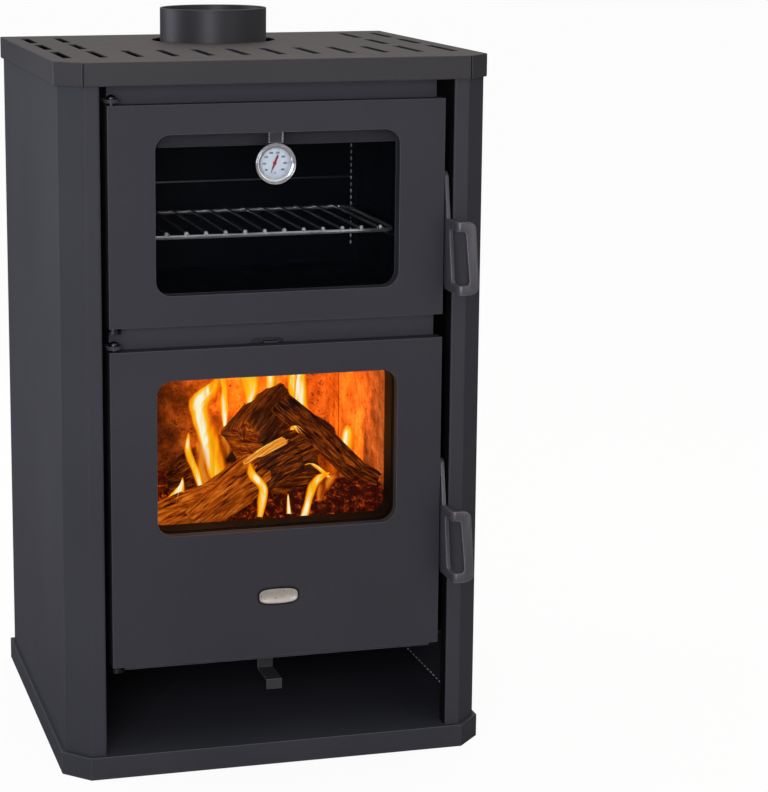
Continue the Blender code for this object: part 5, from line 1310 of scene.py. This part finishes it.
# ember bed heaped on the grate and the hearth round it, with loose coals on it
bedLook = {
    "x": (-0.171, 0.171), "y": (-0.145, 0.195), "base": 0.2503, "overGrate": 0.2626, "grateX": 0.1253,
    "grateY": (-0.105, 0.105), "top": 0.300, "cells": 90, "coals": 110, "coalMm": (5, 12), "seed": 4,
    "lumps": [(60, 3, 0.006), (160, 7, 0.003), (14, 1, 0.006)],  # how fine, which layer of the noise, how high
}
deselectAll()
bpy.ops.mesh.primitive_grid_add(x_subdivisions=bedLook["cells"], y_subdivisions=bedLook["cells"], size=1.0)
bed = bpy.context.object
for vertex in bed.data.vertices:
    x = bedLook["x"][0] + (vertex.co.x + 0.5) * (bedLook["x"][1] - bedLook["x"][0])
    y = bedLook["y"][0] + (vertex.co.y + 0.5) * (bedLook["y"][1] - bedLook["y"][0])
    edge = min(0.5 - abs(vertex.co.x), 0.5 - abs(vertex.co.y)) / 0.05
    heap = min(1.0, max(0.0, edge)) ** 0.6
    rise = bedLook["top"] - bedLook["base"] - 0.008
    for fine, layer, high in bedLook["lumps"]:
        rise += noise.noise(Vector((x * fine, y * fine, layer))) * high
    vertex.co = (x, y, bedLook["base"] + 0.006 + heap * rise)
bpy.ops.object.mode_set(mode="EDIT")
bpy.ops.mesh.select_all(action="SELECT")
bpy.ops.mesh.extrude_region_move(TRANSFORM_OT_translate={"value": (0, 0, -0.1)})
bpy.ops.object.mode_set(mode="OBJECT")
for vertex in bed.data.vertices:
    if vertex.co.z < 0.24:
        overGrate = abs(vertex.co.x) < bedLook["grateX"] and bedLook["grateY"][0] < vertex.co.y < bedLook["grateY"][1]
        vertex.co.z = bedLook["overGrate" if overGrate else "base"]
faceOutwards(bed)
settle(bed, "ember_bed", "cabinet", "embers", 60)
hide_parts("fuel_load")

random.seed(bedLook["seed"])
coals = []
for i in range(bedLook["coals"]):
    size = random.uniform(*bedLook["coalMm"]) / 1000
    x = random.uniform(bedLook["x"][0] + 0.02, bedLook["x"][1] - 0.02)
    y = random.uniform(bedLook["y"][0] + 0.012, 0.06)
    deselectAll()
    bpy.ops.mesh.primitive_ico_sphere_add(
        subdivisions=2, radius=size, location=(x, y, bedLook["top"] - size * 0.1),
        rotation=[random.uniform(0, 3) for _ in range(3)],
    )
    coal = bpy.context.object
    coal.scale = (random.uniform(0.8, 1.5), random.uniform(0.7, 1.1), random.uniform(0.6, 0.95))
    for vertex in coal.data.vertices:
        vertex.co *= 1 + 0.35 * noise.noise(vertex.co * 120 + Vector((i, 0, 0)))
    coals.append(coal)
loose = joinUp(coals, coals[0])
settle(loose, "loose_coals", "cabinet", "embers", 40)
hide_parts("fuel_load")
print("ember bed made")


# flames: each is a ribbon that follows a bent line upwards and narrows to its tip, with a second one across it for
# the other views
def curvePoint(line, t):
    # a point on a smooth curve through the line's points
    spot = min(t, 0.9999) * (len(line) - 1)
    i = int(spot)
    f = spot - i
    a, b = line[max(i - 1, 0)], line[i]
    c, d = line[i + 1], line[min(i + 2, len(line) - 1)]
    return 0.5 * (2 * b + (c - a) * f + (2 * a - 5 * b + 4 * c - d) * f * f + (3 * b - a - 3 * c + d) * f * f * f)


flameSheetLook = {"across": 8, "along": 36, "bowMm": 5.0, "crossShare": 0.6}


def flameSheet(lean, edges, turned, name):
    # a bowed sheet between two bent edges; turned, it stands across them for the views from the side
    deselectAll()
    bpy.ops.mesh.primitive_grid_add(
        x_subdivisions=flameSheetLook["across"], y_subdivisions=flameSheetLook["along"], size=1.0,
    )
    sheet = bpy.context.object
    sheet.name = name
    left = [Vector((leftX / 1000, y / 1000, leftZ / 1000)) for y, leftX, leftZ, _, _ in edges]
    right = [Vector((rightX / 1000, y / 1000, rightZ / 1000)) for y, _, _, rightX, rightZ in edges]
    bow = flameSheetLook["bowMm"] / 1000
    for vertex in sheet.data.vertices:
        u, v = vertex.co.x + 0.5, vertex.co.y + 0.5
        a, b = curvePoint(left, v), curvePoint(right, v)
        middle = (a + b) / 2
        sight = (middle - Vector(photoCamera["place"])) * Vector((1, 1, 0))
        sight.normalize()
        if turned:
            vertex.co = middle + sight * (b - a).length * flameSheetLook["crossShare"] * (u - 0.5)
        else:
            vertex.co = a.lerp(b, u) + sight * (bow * math.cos(math.pi * (u - 0.5)) - bow / 2)
    for corner in sheet.data.uv_layers["UVMap"].data:
        corner.uv.x = corner.uv.x ** lean
    return sheet


flameLook = {
    # lean of the white heart to one side, then from root to tip: y, left x, left z, right x and right z in mm
    "flame": [
        (0.62, [
            (-80, -46.7, 326.3, -36, 325.5), (-75, -57.9, 349.3, -29.4, 347.3), (-70, -67.8, 378.8, -33.2, 376.5),
            (-65, -75.9, 408.2, -39.1, 405.8), (-62, -82.3, 433.4, -46.6, 431.1), (-60, -87.2, 453, -47.2, 450.5),
            (-58, -80, 468.3, -30, 465.2), (-56, -47.3, 488, -27, 486.7), (-54, -40.8, 522.1, -31.2, 521.5),
        ]),
        (1, [
            (-48, -34.6, 417.5, -27.4, 417), (-48, -38.9, 436.5, -24.5, 435.6), (-48, -39.3, 455.2, -24, 454.3),
            (-48, -36.9, 473.8, -24, 473), (-48, -45.3, 493, -26.1, 491.8), (-48, -47.6, 521.1, -34.4, 520.4),
        ]),
        (1, [
            (-100, -81.2, 347.6, -70.6, 346.9), (-100, -91, 370.1, -74.1, 369), (-98, -98.2, 388.5, -82.1, 387.4),
            (-96, -99.1, 404.1, -88.1, 403.3), (-94, -94.1, 423.9, -89.4, 423.6),
        ]),
        (0.8, [
            (-130, -135, 335.7, -100.8, 333.2), (-128, -128.1, 346.4, -101.7, 344.5),
            (-126, -119, 354.3, -103, 353.1), (-124, -111.6, 361.1, -103.9, 360.6),
            (-122, -107.1, 370.1, -105.3, 369.9),
        ]),
        (1, [
            (-15, 6.8, 432.5, 13.4, 432), (-15, 2.2, 447, 20.8, 445.8), (-15, -2.1, 457.9, 26.9, 456.1),
            (-15, -6, 470, 29.6, 467.9), (-15, -10.1, 485.6, 30.6, 483.2), (-15, -6.4, 528, 25.3, 526.2),
        ]),
        (1, [
            (5, 40.6, 442.2, 52.9, 441.4), (5, 38.1, 454.3, 55.9, 453.2), (5, 37.6, 466.2, 57.4, 465.1),
            (5, 37.2, 480.6, 56.9, 479.5), (5, 40.6, 518.7, 53, 518),
        ]),
        (1, [
            (5, 77.1, 429.1, 83.1, 428.7), (5, 71.7, 445, 84.6, 444.3), (5, 69.7, 459.5, 86.6, 458.5),
            (5, 68.3, 476.4, 88.6, 475.2), (5, 72.7, 516.9, 85.1, 516.2),
        ]),
        (1, [
            (100, 106, 363.3, 134.9, 362.5), (100, 100, 387.4, 135.6, 386), (100, 96.5, 410, 130.5, 408.7),
            (100, 98, 432.3, 128, 431.1), (100, 101, 454.5, 126.4, 453.5), (100, 108, 493.9, 123.4, 493.3),
        ]),
        (0.9, [
            (10, 136.4, 333.6, 174.7, 330.9), (10, 143, 352.5, 174.7, 350.3), (10, 148.5, 369, 174.2, 367.3),
            (10, 150, 381, 173.1, 379.5), (10, 156.5, 397.6, 167.9, 396.8),
        ]),
        (1, [
            (-148, -11.8, 315.3, -2, 314.5), (-146, -11.7, 336.3, 4.7, 335.1), (-144, -10.2, 353.9, 6.7, 352.7),
            (-142, -19.9, 365.4, 2.6, 363.8), (-140, -24.1, 376.5, -8.6, 375.4), (-138, -22.1, 390.7, -15.5, 390.2),
        ]),
        (1, [
            (-148, 47.4, 312, 61.2, 311), (-146, 54.2, 336.1, 68.4, 335.1), (-144, 59.1, 353.5, 76.4, 352.3),
            (-142, 68.2, 365.1, 88.2, 363.7), (-140, 83.8, 369, 95.7, 368.2),
        ]),
        (1, [
            (-140, 83.8, 361.7, 95.7, 360.8), (-138, 73.7, 372.6, 86.1, 371.7), (-136, 62.4, 381.3, 72, 380.7),
            (-134, 53.1, 377.3, 59.5, 376.9),
        ]),
        (1, [
            (-148, 28.6, 316.8, 37.5, 316.2), (-147, 29.8, 329, 35.9, 328.6), (-146, 31.5, 344.6, 33.9, 344.4),
        ]),
        (1, [
            (-95, 47.9, 418.3, 56.1, 417.8), (-95, 49.6, 424, 64, 423.1), (-95, 60.4, 411.2, 76, 410.2),
        ]),
    ],
    "flameVeil": [
        (1, [
            (-50, -42.5, 317.8, -4, 315), (-48, -45.5, 347.9, 6.2, 344.3), (-46, -49.8, 375.8, 16.5, 371.3),
            (-44, -54, 401.3, 12.2, 396.9), (-42, -49.9, 426.3, 0.7, 423.1), (-40, -39.7, 453.3, -10.8, 451.5),
        ]),
        (1, [
            (-80, -91.6, 334.6, -45.5, 331.3), (-78, -94.6, 362, -49.6, 358.9), (-76, -91.7, 382.1, -53.8, 379.5),
            (-74, -86.5, 402, -59.2, 400.2), (-72, -81.2, 419.7, -68.2, 418.8),
        ]),
        (1, [
            (20, 129.5, 328.9, 185, 325.1), (20, 133.3, 350.5, 183.7, 347.1), (20, 137.1, 367.2, 182.4, 364.2),
            (20, 142.1, 383.8, 179.9, 381.4), (20, 150.9, 402.7, 173.6, 401.2),
        ]),
        (1, [
            (70, 6, 367.6, 127.1, 359.7), (70, 3.5, 394.6, 129.6, 386.5), (70, 3.6, 423.8, 127.1, 416.2),
            (70, 6.1, 448, 123.3, 441), (70, 8.7, 469.7, 119.5, 463.3), (70, 16.2, 508.2, 111.9, 502.9),
        ]),
        (1, [
            (-120, 69.6, 325.2, 100.8, 322.9), (-119, 75.9, 338.3, 105.9, 336.2), (-118, 82.2, 349.2, 111, 347.1),
            (-117, 94.5, 360.7, 113.8, 359.4),
        ]),
    ],
}
for finish, flames in flameLook.items():
    sheets = []
    for i, (lean, edges) in enumerate(flames):
        sheets.append(flameSheet(lean, edges, False, f"{finish}_{i}"))
        sheets.append(flameSheet(lean, edges, True, f"{finish}_across_{i}"))
    settle(
        joinUp(sheets, sheets[0]), "flames" if finish == "flame" else "flame_veils", "cabinet", finish,
        60,
    )

fireLights = [
    # place, watts, radius, colour
    ((0.060, 0.110, 0.420), 1.15, 0.03, "#FFA02C"),
    ((0.085, 0.060, 0.470), 0.5, 0.03, "#FF9430"),
    ((-0.055, -0.010, 0.400), 0.30, 0.03, "#FF8224"),
    ((-0.075, -0.145, 0.400), 0.60, 0.02, "#FFA050"),
    ((0.125, 0.030, 0.370), 0.40, 0.02, "#FFA040"),
]
for place, watts, radius, shade in fireLights:
    bpy.ops.object.light_add(type="POINT", location=place)
    lamp = bpy.context.object
    lamp.data.energy = watts
    lamp.data.shadow_soft_size = radius
    lamp.data.color = linearColour(shade)[:3]
print("flames and firelight made")

bpy.context.view_layer.update()
low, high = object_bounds()
print("size of the dressed part:", [round(b - a, 4) for a, b in zip(low, high)])
